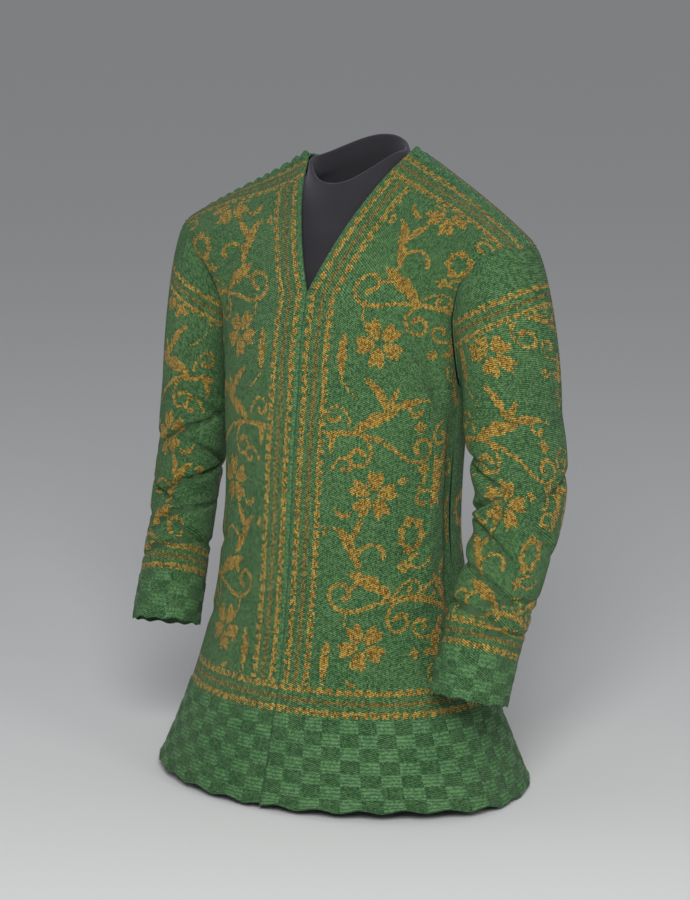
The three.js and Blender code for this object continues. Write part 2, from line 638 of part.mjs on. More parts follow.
// ---------- shoulder seams ----------
// A low scalloped ridge along the seam, just above the meeting edges of front and back.
function shoulderSeam(name, sign) {
  const solid = new Solid();
  const steps = RIDGE_WAVES * RIDGE_STEPS_PER_WAVE;
  const rings = [];
  for (let i = 0; i <= steps; i += 1) {
    const share = i / steps;
    const x = mix(NECK_HALF + RIDGE_NECK_INSET, TIP_HALF - RIDGE_TIP_INSET, share);
    const y = read(SHOULDER, "x", "y", x);
    const z = read(SHOULDER, "x", "z", x) + RIDGE_CLEARANCE;
    const calm = mix(1, RIDGE_TIP_SHARE, share);
    const scallop = RIDGE_SCALLOP * calm * Math.abs(Math.sin((Math.PI * i) / RIDGE_STEPS_PER_WAVE));
    const top = RIDGE_HEIGHT * calm + scallop;
    rings.push([
      vec(x, y + RIDGE_HALF, z),
      vec(x, y + RIDGE_HALF * 0.4, z + top * 0.9),
      vec(x, y - RIDGE_HALF * 0.4, z + top),
      vec(x, y - RIDGE_HALF, z),
    ]);
  }
  const rows = rings.map((ring) => {
    const run = solid.row(ring);
    return [...run, run[0]];
  });
  solid.sheet(rows);
  const cap = (run, turned) => {
    const [a, b, c, d] = run;
    solid.faces.push(...(turned ? [[a, c, b], [a, d, c]] : [[a, b, c], [a, c, d]]));
  };
  cap(rows[0], true);
  cap(rows[rows.length - 1], false);
  for (const point of solid.points) point.x *= sign;
  return solid.mesh(name, DEEP_GREEN, sign < 0);
}

// ---------- the form ----------
function formPoint(section, turn) {
  const sine = Math.sin(turn);
  const tilt = (sine < 0 ? section.toFront : section.toBack) * sine * sine;
  const reach = (sine < 0 ? section.front : section.back) - section.middle;
  const depth = Math.pow(Math.abs(sine), sine < 0 ? section.lean : 1);
  return vec(section.half * Math.cos(turn), section.middle + reach * depth, section.side + tilt);
}

function dressForm() {
  const solid = new Solid();
  const turns = Array.from({ length: FORM_COLUMNS }, (_, i) => (2 * Math.PI * i) / FORM_COLUMNS);
  const closed = (run) => [...run, run[0]];
  const outer = FORM.map((section) => closed(solid.row(turns.map((turn) => formPoint(section, turn)))));
  const innerSections = FORM.slice(1).map((section, i, list) => {
    const slopes = i > list.length - 6; // where the walls lean in under the shoulders
    const sink = i === list.length - 1 ? 0 : slopes ? FORM_WALL * 0.8 : 0;
    return {
      ...section,
      side: i === 0 ? FORM_FLOOR : section.side - sink,
      half: section.half - FORM_WALL,
      front: section.front + FORM_WALL,
      back: section.back - FORM_WALL,
    };
  });
  const inner = innerSections.map((section) =>
    closed(solid.row(turns.map((turn) => formPoint(section, turn)))));
  solid.sheet(outer);
  solid.sheet(inner.map((run) => [...run].reverse()));
  solid.strip(outer[outer.length - 1], inner[inner.length - 1]);
  const foot = solid.add(vec(0, 0, 0));
  const floor = solid.add(vec(0, 0, FORM_FLOOR));
  for (let i = 0; i < FORM_COLUMNS; i += 1) {
    solid.faces.push([foot, outer[0][i + 1], outer[0][i]]);
    solid.faces.push([floor, inner[0][i], inner[0][i + 1]]);
  }
  return solid.mesh("dress_form", FORM_GREY, false, 0.95);
}

// ---------- assembly ----------
const group = new THREE.Group();
group.name = "knitted_jacket_on_dress_form";
group.add(
  backPanel(),
  frontPanel(1),
  frontPanel(-1),
  sleeve("sleeve_left", SIDES.left, SLEEVE_FOLDS.left),
  sleeve("sleeve_right", SIDES.right, SLEEVE_FOLDS.right),
  shoulderSeam("shoulder_seam_left", 1),
  shoulderSeam("shoulder_seam_right", -1),
  dressForm(),
);

export default group;
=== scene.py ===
import math

import bpy
import numpy as np
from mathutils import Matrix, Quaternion, Vector


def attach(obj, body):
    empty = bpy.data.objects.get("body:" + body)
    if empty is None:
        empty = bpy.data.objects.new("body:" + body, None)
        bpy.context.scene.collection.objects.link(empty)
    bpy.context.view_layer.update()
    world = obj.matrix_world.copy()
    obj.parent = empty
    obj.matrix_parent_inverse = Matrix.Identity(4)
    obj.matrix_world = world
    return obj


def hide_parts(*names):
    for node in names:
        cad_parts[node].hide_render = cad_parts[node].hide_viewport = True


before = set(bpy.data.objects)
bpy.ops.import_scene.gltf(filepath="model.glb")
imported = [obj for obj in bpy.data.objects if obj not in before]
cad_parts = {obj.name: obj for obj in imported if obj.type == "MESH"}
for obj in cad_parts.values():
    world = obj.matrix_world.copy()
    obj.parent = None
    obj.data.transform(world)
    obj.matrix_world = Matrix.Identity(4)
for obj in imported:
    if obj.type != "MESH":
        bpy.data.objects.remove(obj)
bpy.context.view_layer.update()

# ---------------------------------------------------------------------------------------------
# Studio. The jacket stands on a plain pale floor. The main soft light is above the camera, with weak
# ones at both sides, and the camera looks down a little from the wearer's left of the front.
CAMERA_TURN = math.radians(31.3)
CAMERA_RISE = math.radians(10.5)
CAMERA_DISTANCE = 3.0
CAMERA_TARGET = Vector((-0.0018, -0.0011, 0.350))
CAMERA_ROLL = math.radians(0.5)
SENSOR_HEIGHT = 36.0
LENS = 114.3

sight = Vector((
    math.sin(CAMERA_TURN) * math.cos(CAMERA_RISE),
    -math.cos(CAMERA_TURN) * math.cos(CAMERA_RISE),
    math.sin(CAMERA_RISE),
))
camera_data = bpy.data.cameras.new("camera")
camera_data.sensor_fit = "VERTICAL"
camera_data.sensor_height = SENSOR_HEIGHT
camera_data.lens = LENS
camera = bpy.data.objects.new("camera", camera_data)
camera.location = CAMERA_TARGET + sight * CAMERA_DISTANCE
level_view = (-sight).to_track_quat("-Z", "Y")
camera.rotation_euler = (level_view @ Quaternion((0.0, 0.0, 1.0), CAMERA_ROLL)).to_euler()
bpy.context.scene.collection.objects.link(camera)
bpy.context.scene.camera = camera
bpy.context.scene.view_settings.view_transform = "Standard"


def soft_lamp(name, place, aim, size, power):
    """A round lamp that looks at aim; sizes in metres, power in watts."""
    lamp = bpy.data.lights.new(name, "AREA")
    lamp.shape = "DISK"
    lamp.size = size
    lamp.energy = power
    thing = bpy.data.objects.new(name, lamp)
    thing.location = place
    thing.rotation_euler = (Vector(aim) - Vector(place)).to_track_quat("-Z", "Y").to_euler()
    bpy.context.scene.collection.objects.link(thing)


soft_lamp("key_light", place=(1.3, -2.3, 1.75), aim=(0.0, 0.0, 0.34), size=1.2, power=73.0)
soft_lamp("side_light", place=(2.9, -1.0, 1.5), aim=(0.0, 0.0, 0.3), size=0.8, power=9.0)
soft_lamp("rim_light", place=(-2.8, -0.6, 1.8), aim=(0.0, 0.0, 0.4), size=1.6, power=3.0)

ROOM_COLOUR = (0.9, 0.92, 0.95, 1.0)
ROOM_STRENGTH = 0.30
world = bpy.data.worlds.new("studio")
world.use_nodes = True
room = world.node_tree.nodes["Background"]
room.inputs["Color"].default_value = ROOM_COLOUR
room.inputs["Strength"].default_value = ROOM_STRENGTH
bpy.context.scene.world = world

FLOOR_HALF = 40.0
FLOOR_GREY = (0.75, 0.75, 0.75, 1.0)
FLOOR_ROUGHNESS = 0.9
floor_mesh = bpy.data.meshes.new("studio_floor")
floor_corners = [(FLOOR_HALF * x, FLOOR_HALF * y, 0) for x, y in ((-1, -1), (1, -1), (1, 1), (-1, 1))]
floor_mesh.from_pydata(floor_corners, [], [(0, 1, 2, 3)])
floor = bpy.data.objects.new("studio_floor", floor_mesh)
bpy.context.scene.collection.objects.link(floor)
floor_paint = bpy.data.materials.new("pale_floor")
floor_paint.use_nodes = True
floor_skin = floor_paint.node_tree.nodes["Principled BSDF"]
floor_skin.inputs["Base Color"].default_value = FLOOR_GREY
floor_skin.inputs["Roughness"].default_value = FLOOR_ROUGHNESS
floor_mesh.materials.append(floor_paint)

# ---------------------------------------------------------------------------------------------
# Dress form. A hollow moulded shell, limbless and smooth, covered in dark violet-grey cloth that is
# turned over the thin rim of the neck; it stands inside the jacket on its own flat foot.
MM = 0.001


def shader(material, kind, **inputs):
    """A node of the material, with its inputs set by name."""
    node = material.node_tree.nodes.new(kind)
    for name, value in inputs.items():
        node.inputs[name.replace("_", " ")].default_value = value
    return node


def columns(names, *rows):
    """A short table of sizes, read by the name of its column."""
    return dict(zip(names.split(), np.array(rows, dtype=float).T))


def read(table, key, column, value):
    """Smooth reading of one column of a table, at a value of its key column."""
    keys, values = table[key], table[column]
    last = len(keys) - 1
    value = np.clip(value, keys[0], keys[-1])
    low = np.clip(np.searchsorted(keys, value, side="left") - 1, 0, last - 1)
    before = np.clip(np.arange(last + 1) - 1, 0, last)
    after = np.clip(np.arange(last + 1) + 1, 0, last)
    slopes = (values[after] - values[before]) / (keys[after] - keys[before])
    span = keys[low + 1] - keys[low]
    t = (value - keys[low]) / span
    return (
        (2 * t**3 - 3 * t**2 + 1) * values[low]
        + (t**3 - 2 * t**2 + t) * span * slopes[low]
        + (3 * t**2 - 2 * t**3) * values[low + 1]
        + (t**3 - t**2) * span * slopes[low + 1]
    )


def smoothstep(value, start, end):
    """0 before start, 1 past end, and a soft rise between."""
    t = np.clip((value - start) / (end - start), 0.0, 1.0)
    return t * t * (3.0 - 2.0 * t)


def mix(a, b, share):
    """The value that lies a share of the way from a to b."""
    return a + (b - a) * share


def three(x, y, z):
    """Points from their three coordinates, each a number or a grid."""
    return np.stack(np.broadcast_arrays(x, y, z), axis=-1).astype(float)


LIFT_FROM_Z = 400.0
LIFT_FULL_Z = 640.0
shoulder_lift = columns(
    "x lift",
    (0, 0),
    (40, 4),
    (80, 5.5),
    (120, 4),
    (160, 1),
    (205, -3),
    (260, -3),
)


def lift_shoulders(points):
    """The shoulders stand unevenly: the wearer's left side is lifted and the right sinks by as much."""
    points = points.copy()
    lift = read(shoulder_lift, "x", "lift", np.abs(points[..., 0])) * np.sign(points[..., 0])
    points[..., 2] += lift * smoothstep(points[..., 2], LIFT_FROM_Z, LIFT_FULL_Z)
    return points


def new_piece(name, points, faces, material):
    """A mesh object with its place in its mesh; the points are in millimetres."""
    mesh = bpy.data.meshes.new(name)
    mesh.from_pydata((points * MM).tolist(), [], faces)
    mesh.validate()
    mesh.materials.append(material)
    mesh.polygons.foreach_set("use_smooth", np.ones(len(mesh.polygons), dtype=bool))
    piece = bpy.data.objects.new(name, mesh)
    bpy.context.scene.collection.objects.link(piece)
    return piece


FORM_WALL = 4.0
FORM_FLOOR = 8.0
FORM_COLUMNS = 96
FORM_RINGS = 90
RIM_RISE = 1.2
# Where the form slopes in towards its neck, the inner face is sunk too, between these rows of the table.
SINK_SHARE = 0.8
SINK_STARTS = (10.0, 12.0)
SINK_ENDS = (15.4, 16.0)
form_sizes = columns(
    "side to_front to_back half front back middle lean",
    (0, 0, 0, 136, -116, 94, -6, 1),
    (70, 0, 0, 135, -115, 93, -6, 1),
    (140, 0, 0, 133, -113, 92, -6, 1),
    (215, 0, 0, 127, -109, 90, -5, 1),
    (280, 0, 0, 120, -103, 82, -4, 1),
    (340, 0, 0, 120, -99, 80, -3, 1),
    (400, 0, 0, 124, -93, 83, -2, 1),
    (440, 0, 0, 127, -88, 86, -1, 1),
    (480, 0, 0, 128, -81, 88, 3, 1.05),
    (520, 3, 5, 131, -70, 90, 8, 1.2),
    (556, 0, 12, 133, -56, 90, 14, 1.4),
    (586, -8, 10, 130, -45, 87, 19, 1.6),
    (606, -15, 14, 118, -38, 82, 22, 1.7),
    (618, -20, 19, 98, -35, 77, 22, 1.6),
    (630, -23, 20, 78, -33, 73, 21, 1.4),
    (643, -25, 18, 60, -32, 69, 20, 1.2),
    (659, -28, 17, 53, -31, 67, 18, 1.05),
)


def form_ring(place, wall):
    """One section of the form's shell, drawn in by wall; place counts the rows of the table."""
    rows = np.arange(len(form_sizes["side"]))
    table = {"row": rows.astype(float), **form_sizes}
    size = {name: float(read(table, "row", name, np.array(float(place)))) for name in form_sizes}
    turns = np.linspace(0.0, 2 * math.pi, FORM_COLUMNS, endpoint=False)
    sine = np.sin(turns)
    front = sine < 0
    tilt = np.where(front, size["to_front"], size["to_back"]) * sine * sine
    reach = np.where(front, size["front"] + wall, size["back"] - wall) - size["middle"]
    depth = np.abs(sine) ** np.where(front, size["lean"], 1.0) * reach
    sink = SINK_SHARE * wall * smoothstep(np.array(place), *SINK_STARTS)
    sink = sink * (1 - smoothstep(np.array(place), *SINK_ENDS))
    return three((size["half"] - wall) * np.cos(turns), size["middle"] + depth, size["side"] + tilt - sink)


FORM_DARK = (0.010, 0.0092, 0.012, 1.0)
FORM_PALE = (0.022, 0.020, 0.025, 1.0)
FORM_SHEEN = (0.55, 0.52, 0.62, 1.0)


def form_material():
    """Matt woven cover: two sets of fine threads over a soft mottle."""
    cover = bpy.data.materials.new("form_cover_cloth")
    cover.use_nodes = True
    tree = cover.node_tree
    skin = tree.nodes["Principled BSDF"]
    skin.inputs["Roughness"].default_value = 0.92
    skin.inputs["Sheen Weight"].default_value = 0.25
    skin.inputs["Sheen Roughness"].default_value = 0.5
    skin.inputs["Sheen Tint"].default_value = FORM_SHEEN
    place = shader(cover, "ShaderNodeTexCoord")
    weave = shader(cover, "ShaderNodeTexWave", Scale=420.0, Distortion=1.2, Detail=2.0)
    cross = shader(cover, "ShaderNodeTexWave", Scale=420.0, Distortion=1.2, Detail=2.0)
    weave.bands_direction = "Z"
    cross.bands_direction = "X"
    mottle = shader(cover, "ShaderNodeTexNoise", Scale=26.0, Detail=5.0)
    for node in (weave, cross, mottle):
        tree.links.new(place.outputs["Object"], node.inputs["Vector"])
    threads = shader(cover, "ShaderNodeMath")
    threads.operation = "ADD"
    tree.links.new(weave.outputs["Fac"], threads.inputs[0])
    tree.links.new(cross.outputs["Fac"], threads.inputs[1])
    tone = shader(cover, "ShaderNodeValToRGB")
    tone.color_ramp.elements[0].color = FORM_DARK
    tone.color_ramp.elements[1].color = FORM_PALE
    tree.links.new(mottle.outputs["Fac"], tone.inputs["Fac"])
    tree.links.new(tone.outputs["Color"], skin.inputs["Base Color"])
    nap = shader(cover, "ShaderNodeBump", Strength=0.35, Distance=0.0004)
    tree.links.new(threads.outputs["Value"], nap.inputs["Height"])
    tree.links.new(nap.outputs["Normal"], skin.inputs["Normal"])
    return cover


form_places = np.linspace(0.0, len(form_sizes["side"]) - 1.0, FORM_RINGS)
outer_rings = [form_ring(place, 0.0) for place in form_places]
inner_places = np.linspace(1.0, len(form_sizes["side"]) - 1.0, FORM_RINGS)
inner_rings = [form_ring(place, FORM_WALL) for place in inner_places]
inner_rings[0][:, 2] = FORM_FLOOR
rolled_rim = mix(outer_rings[-1], inner_rings[-1], 0.5)
rolled_rim[:, 2] += RIM_RISE
form_runs = outer_rings + [rolled_rim] + inner_rings[::-1]
form_points = lift_shoulders(np.concatenate(form_runs + [np.array([[0, 0, 0], [0, 0, FORM_FLOOR]])]))
form_faces = []
for ring in range(len(form_runs) - 1):
    for i in range(FORM_COLUMNS):
        j = (i + 1) % FORM_COLUMNS
        low, high = ring * FORM_COLUMNS, (ring + 1) * FORM_COLUMNS
        form_faces.append((low + i, low + j, high + j, high + i))
foot, bottom = len(form_points) - 2, len(form_points) - 1
last_ring = (len(form_runs) - 1) * FORM_COLUMNS
for i in range(FORM_COLUMNS):
    j = (i + 1) % FORM_COLUMNS
    form_faces.append((foot, j, i))
    form_faces.append((bottom, last_ring + i, last_ring + j))
form = new_piece("form_shell", form_points, form_faces, form_material())
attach(form, "root")
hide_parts("dress_form")

# ---------------------------------------------------------------------------------------------
# Back and fronts. Three panels of fine hand-knitted silk, green with a gold pattern, each knitted
# in one with the block-knit hem band; they are sewn at the sides and shoulders and hang open in front.
SEAM_GAP = 0.3
LEAST_LEAN = 0.6
HEM_Z = 6.0
UNDERARM_Z = 430.0
NECK_HALF = 62.0
TIP_HALF = 205.0
V_RISE = 0.37
BACK_NECK_RISE = 0.87
SECTION_POWER = 2.1
BAND_TOP_Z = 98.0
BLOCK_ROWS = 7
BLOCKS_PER_FRONT = 13
STITCHES_PER_BLOCK = 9
ROWS_PER_BLOCK = 7
BLOCK_RELIEF = 1.4
BLOCK_CRISPNESS = 5
HEM_WAVE = 3.4
HEM_WAVE_BLOCKS = 2
HEM_WAVE_HEIGHT = 9.0
PLAIN_ROWS = 172
YOKE_ROWS = 134
NECK_SHARE = 4 / 13
CLOTH = 2.0
INNER_STEP = 4

body_sizes = columns(
    "z half front back side",
    (6, 205, -167, 164, -4),
    (50, 186, -153, 147, -5),
    (98, 167, -140, 129, -6),
    (133, 156, -131, 119, -6),
    (172, 145, -124, 109, -6),
    (215, 137, -118, 100, -5),
    (280, 130.5, -112, 91, -4),
    (340, 131, -108, 89, -3),
    (400, 135, -102, 92, -2),
    (430, 138, -98, 95, -2),
)
yoke_sizes = columns(
    "rise half front_edge back_edge",
    (0.0, 138, 138, 138),
    (0.13, 139.5, 138, 139),
    (0.27, 142, 138, 140.5),
    (0.37, 147, 139.5, 144),
    (0.49, 161, 146, 152),
    (0.6, 183, 154, 161),
    (0.7, 212, 165, 171),
    (0.86, 266, 181, 186),
    (0.94, 285, 191, 194),
    (1.0, 300, 205, 205),
)
shoulder_sizes = columns(
    "x z y",
    (0, 688, 22),
    (62, 661, 22),
    (100, 640, 21),
    (150, 613, 18),
    (190, 589, 15),
    (205, 577, 13),
    (300, 497, 10),
)
NECK_CURL = {"front": 2.1, "back": 3.2}
NECK_ROUND = {"front": 1.2, "back": 2.2}
TIP_CURL = 3.0
TIP_ROUND = 2.2
HEM_LINE_TOP_Z = 60.0
hem_line = columns(
    "turn lift",
    (-180, 0),
    (-130, 3),
    (-95, 0.5),
    (-45, 5),
    (-20, 2),
    (0, -3.5),
    (40, -2),
    (90, 0),
    (180, 0),
)
FLARE_TURN = -20.0
FLARE_BROAD = 16.0
FLARE_DEPTH = 7.0
FLARE_TOP_Z = 110.0


def body_point(turn, level):
    """Point of the jacket's outer face. turn: -90 degrees is the centre front, 90 the centre back.
    level: 0 to 1 from hem to underarm, 1 to 2 from underarm to shoulder seam."""
    turn, level = np.broadcast_arrays(np.asarray(turn, float), np.asarray(level, float))
    across = np.sign(np.cos(turn)) * np.abs(np.cos(turn)) ** (2 / SECTION_POWER)
    depth = np.abs(np.sin(turn)) ** (2 / SECTION_POWER)
    front = np.sin(turn) < 0
    z = mix(HEM_Z, UNDERARM_Z, np.minimum(level, 1.0))
    side = read(body_sizes, "z", "side", z)
    reach = np.where(front, read(body_sizes, "z", "front", z), read(body_sizes, "z", "back", z)) - side
    lower = three(read(body_sizes, "z", "half", z) * across, side + reach * depth, z)
    rise = np.clip(level - 1.0, 0.0, 1.0)
    x = read(yoke_sizes, "rise", "half", rise) * across
    out = smoothstep(np.abs(x), NECK_HALF, TIP_HALF)
    curl = mix(np.where(front, NECK_CURL["front"], NECK_CURL["back"]), TIP_CURL, out)
    rounding = mix(np.where(front, NECK_ROUND["front"], NECK_ROUND["back"]), TIP_ROUND, out)
    left = np.maximum(0.0, 1.0 - rise**curl) ** (1.0 / rounding)
    top_side = body_sizes["side"][-1]
    top_reach = np.where(front, body_sizes["front"][-1], body_sizes["back"][-1]) - top_side
    side = mix(top_side, read(shoulder_sizes, "x", "y", np.abs(x)), rise**1.5)
    z = mix(UNDERARM_Z, read(shoulder_sizes, "x", "z", np.abs(x)), rise)
    upper = three(x, side + top_reach * left * depth, z)
    return np.where((level <= 1.0)[..., None], lower, upper)


def unit(vectors):
    return vectors / np.maximum(np.linalg.norm(vectors, axis=-1, keepdims=True), 1e-9)


def body_normal(turn, level):
    step = 1e-3
    low, high = np.maximum(level - step, 0.0), np.minimum(level + step, 2 - step)
    around = body_point(turn + step, high) - body_point(turn - step, high)
    up = body_point(turn, np.maximum(high, low + step)) - body_point(turn, low)
    return unit(np.cross(around, up))


def shape_skirt(points, turns, mirrored):
    """Gives the skirt its flare and its uneven hem line. The wearer's right front is made as a left
    one and mirrored, so its turn is read from the other side."""
    degrees = np.degrees(-math.pi - turns if mirrored else turns)
    z = points[..., 2]
    flare = FLARE_DEPTH * np.exp(-(((degrees - FLARE_TURN) / FLARE_BROAD) ** 2))
    flare = flare * (1 - smoothstep(z, HEM_Z, FLARE_TOP_Z))
    line = read(hem_line, "turn", "lift", degrees) * (1 - smoothstep(z, HEM_Z, HEM_LINE_TOP_Z))
    return points + three(flare * np.cos(turns), flare * np.sin(turns), line)


def turn_at(x, rise, front):
    """Turn at which the body lies x out from its middle, at a rise above the underarm."""
    share = np.minimum(np.abs(x) / read(yoke_sizes, "rise", "half", rise), 1.0)
    turn = np.arccos(share ** (SECTION_POWER / 2))
    return -turn if front else turn


def armhole_turn(rise, front):
    """Turn at which the panel ends at the armhole."""
    edge = read(yoke_sizes, "rise", "front_edge" if front else "back_edge", rise)
    return np.where(rise > 0, turn_at(edge, rise, front), 0.0)


def grid_normals(points, closed=False):
    """Outward directions of a grid of points, whose rows go up and whose columns go to the right."""
    if closed:
        around = np.roll(points, -1, axis=1) - np.roll(points, 1, axis=1)
    else:
        around = np.gradient(points, axis=1)
    return unit(np.cross(around, np.gradient(points, axis=0)))


def run_lengths(points, axis):
    """Length along the grid from its first line, at each point."""
    steps = np.linalg.norm(np.diff(points, axis=axis), axis=-1)
    start = np.zeros_like(np.take(steps, [0], axis=axis))
    return np.cumsum(np.concatenate([start, steps], axis=axis), axis=axis)


RIDGE_BESIDE = 0.5
BODY_FOLD_GAIN = 1.8


def creases(across, up, folds):
    """Depth of soft folds: each a trough (or a ridge, if negative) along a short line."""
    depth = np.zeros_like(across)
    for fold in folds:
        start, end = np.array(fold["start"], float), np.array(fold["end"], float)
        along = end - start
        length = float(np.hypot(*along))
        t = ((across - start[0]) * along[0] + (up - start[1]) * along[1]) / length**2
        bow = fold.get("bow", 0.0) * np.sin(math.pi * np.clip(t, 0, 1))
        off = ((up - start[1]) * along[0] - (across - start[0]) * along[1]) / length - bow
        fade = smoothstep(t, -0.12, 0.3) * (1 - smoothstep(t, 0.7, 1.12))
        side = (off / fold["width"]) ** 2
        depth += BODY_FOLD_GAIN * fold["depth"] * fade * np.exp(-side) * (1 - RIDGE_BESIDE * side)
    return depth


GREEN = (0.069, 0.206, 0.060, 1.0)
GREEN_LIGHT = (0.102, 0.256, 0.082, 1.0)
BRIGHT_GREEN = (0.215, 0.410, 0.165, 1.0)
SHADOW_GREEN = (0.016, 0.062, 0.026, 1.0)
# Painted light on the raised blocks and painted shade on the sunk ones. The sunk green is also a dark strand
# tone in the plain yarn.
PAINTED_LIGHT_RAISED_GREEN = (0.105, 0.285, 0.125, 1.0)
DARK_GREEN_AND_SUNK_SHADE = (0.018, 0.085, 0.030, 1.0)
GOLD = (0.64, 0.375, 0.048, 1.0)
GOLD_BRIGHT = (0.98, 0.69, 0.165, 1.0)
GOLD_TARNISHED = (0.36, 0.16, 0.026, 1.0)
GOLD_DARK = (0.13, 0.035, 0.012, 1.0)
# The borders: a line with teeth on its outer side, a zigzag, and a line with teeth again.
BORDER = 30.0
OFF_BORDER = -50.0
TOOTH_PITCH = 10.4
TOOTH_HEIGHT = 5.4
TOOTH_SHARE = 0.56
LINE_HALF = 1.25
ZIGZAG_HALF = 1.5
ZIGZAG_SWING = 2.2
# Stands for a place that lies well outside the pattern.
FAR_OUTSIDE = -9.0

edge_lines = []


def knit_piece(name, outer, inner_offset, material, chart, edges, closed=False):
    """A thin shell of cloth from a grid of outer points, one face for each stitch. chart holds, on the
    same grid, how far inside the gold pattern each place lies, the borders as their distances in and
    along, which border a stitch belongs to (-1 for none) and its block (1 raised, -1 sunk).
    edges names the free edges, which are cast off with a row of stitches later, and the seams, which
    are sewn with a row at the surface."""
    rows, count = outer.shape[:2]
    row_picks = sorted({*range(0, rows, INNER_STEP), rows - 1})
    column_picks = list(range(0, count, INNER_STEP))
    if not closed:
        column_picks = sorted({*column_picks, count - 1})
    inner = (outer + inner_offset)[np.ix_(row_picks, column_picks)]
    points = np.concatenate([outer.reshape(-1, 3), inner.reshape(-1, 3)])
    base = rows * count
    wide = len(column_picks)
    r, c = np.meshgrid(np.arange(rows - 1), np.arange(count if closed else count - 1), indexing="ij")
    corners_r = np.stack([r, r, r + 1, r + 1], axis=-1).reshape(-1, 4)
    corners_c = np.stack([c, c + 1, c + 1, c], axis=-1).reshape(-1, 4)
    front_faces = corners_r * count + corners_c % count
    low_rows, left = np.meshgrid(
        np.arange(len(row_picks) - 1), np.arange(wide if closed else wide - 1), indexing="ij"
    )
    low_rows, left = low_rows.ravel() * wide, left.ravel()
    right, high_rows = (left + 1) % wide, low_rows + wide
    back_corners = [low_rows + right, low_rows + left, high_rows + left, high_rows + right]
    back_faces = base + np.stack(back_corners, axis=1)
    faces = front_faces.tolist() + back_faces.tolist()
    stops = column_picks + [count] if closed else column_picks
    for k in range(len(stops) - 1):
        run = [c % count for c in range(stops[k], stops[k + 1] + 1)]
        after = (k + 1) % wide
        faces.append([base + k, base + after] + run[::-1])
        top = (rows - 1) * count
        inner_top = base + (len(row_picks) - 1) * wide
        faces.append([top + c for c in run] + [inner_top + after, inner_top + k])
    if not closed:
        for k in range(len(row_picks) - 1):
            run = range(row_picks[k], row_picks[k + 1] + 1)
            low, high = base + k * wide, base + (k + 1) * wide
            faces.append([high, low] + [r * count for r in run])
            faces.append([low + wide - 1, high + wide - 1] + [r * count + count - 1 for r in reversed(run)])
    placed = lift_shoulders(points)
    halfway = 0.5 * MM * (placed[:base] + lift_shoulders(points[:base] + inner_offset.reshape(-1, 3)))
    grid = halfway.reshape(rows, count, 3)
    surface = MM * placed[:base].reshape(rows, count, 3)
    lines = {"hem": grid[0], "start": grid[:, 0], "end": grid[:, -1], "top": grid[-1]}
    lines.update({"start_seam": surface[:, 0], "end_seam": surface[:, -1], "top_seam": surface[-1]})
    for side, which in edges.items():
        span = lines[side] if which is None else lines[side][which]
        edge_lines.append((name + "_" + side + "_stitches", span, closed))
    piece = new_piece(name, placed, faces, material)
    mesh = piece.data
    assert len(mesh.polygons) == len(faces)
    total, outside = len(mesh.loops), corners_r.size
    at = (corners_r.ravel(), corners_c.ravel())
    owner = np.repeat(np.arange(len(corners_r)), 4)
    choice = chart["choice"].ravel()[owner]

    def corner_map(key, across, up, idle):
        layer = mesh.uv_layers.new(name=key)
        full = np.full((total, 2), idle, dtype=np.float32)
        full[:outside, 0], full[:outside, 1] = across, up
        layer.data.foreach_set("uv", full.ravel())

    corner_map("stitches", at[1], at[0], 0.5)
    across, up = np.full(outside, OFF_BORDER), np.zeros(outside)
    for number, (inside, along) in enumerate(chart["borders"]):
        mine = choice == number
        across[mine], up[mine] = inside[at][mine], along[at][mine]
    corner_map("border", across, up, OFF_BORDER)
    motif = np.where(choice < 0, chart["motif"][at], FAR_OUTSIDE)
    block = chart["block"].ravel()[owner]
    for key, values, idle in (("motif", motif, FAR_OUTSIDE), ("block", block, 0.0)):
        full = np.full(total, idle, dtype=np.float32)
        full[:outside] = values
        mesh.attributes.new(key, "FLOAT", "CORNER").data.foreach_set("value", full)
    return piece


SILK_SHEEN = (0.62, 0.85, 0.62, 1.0)


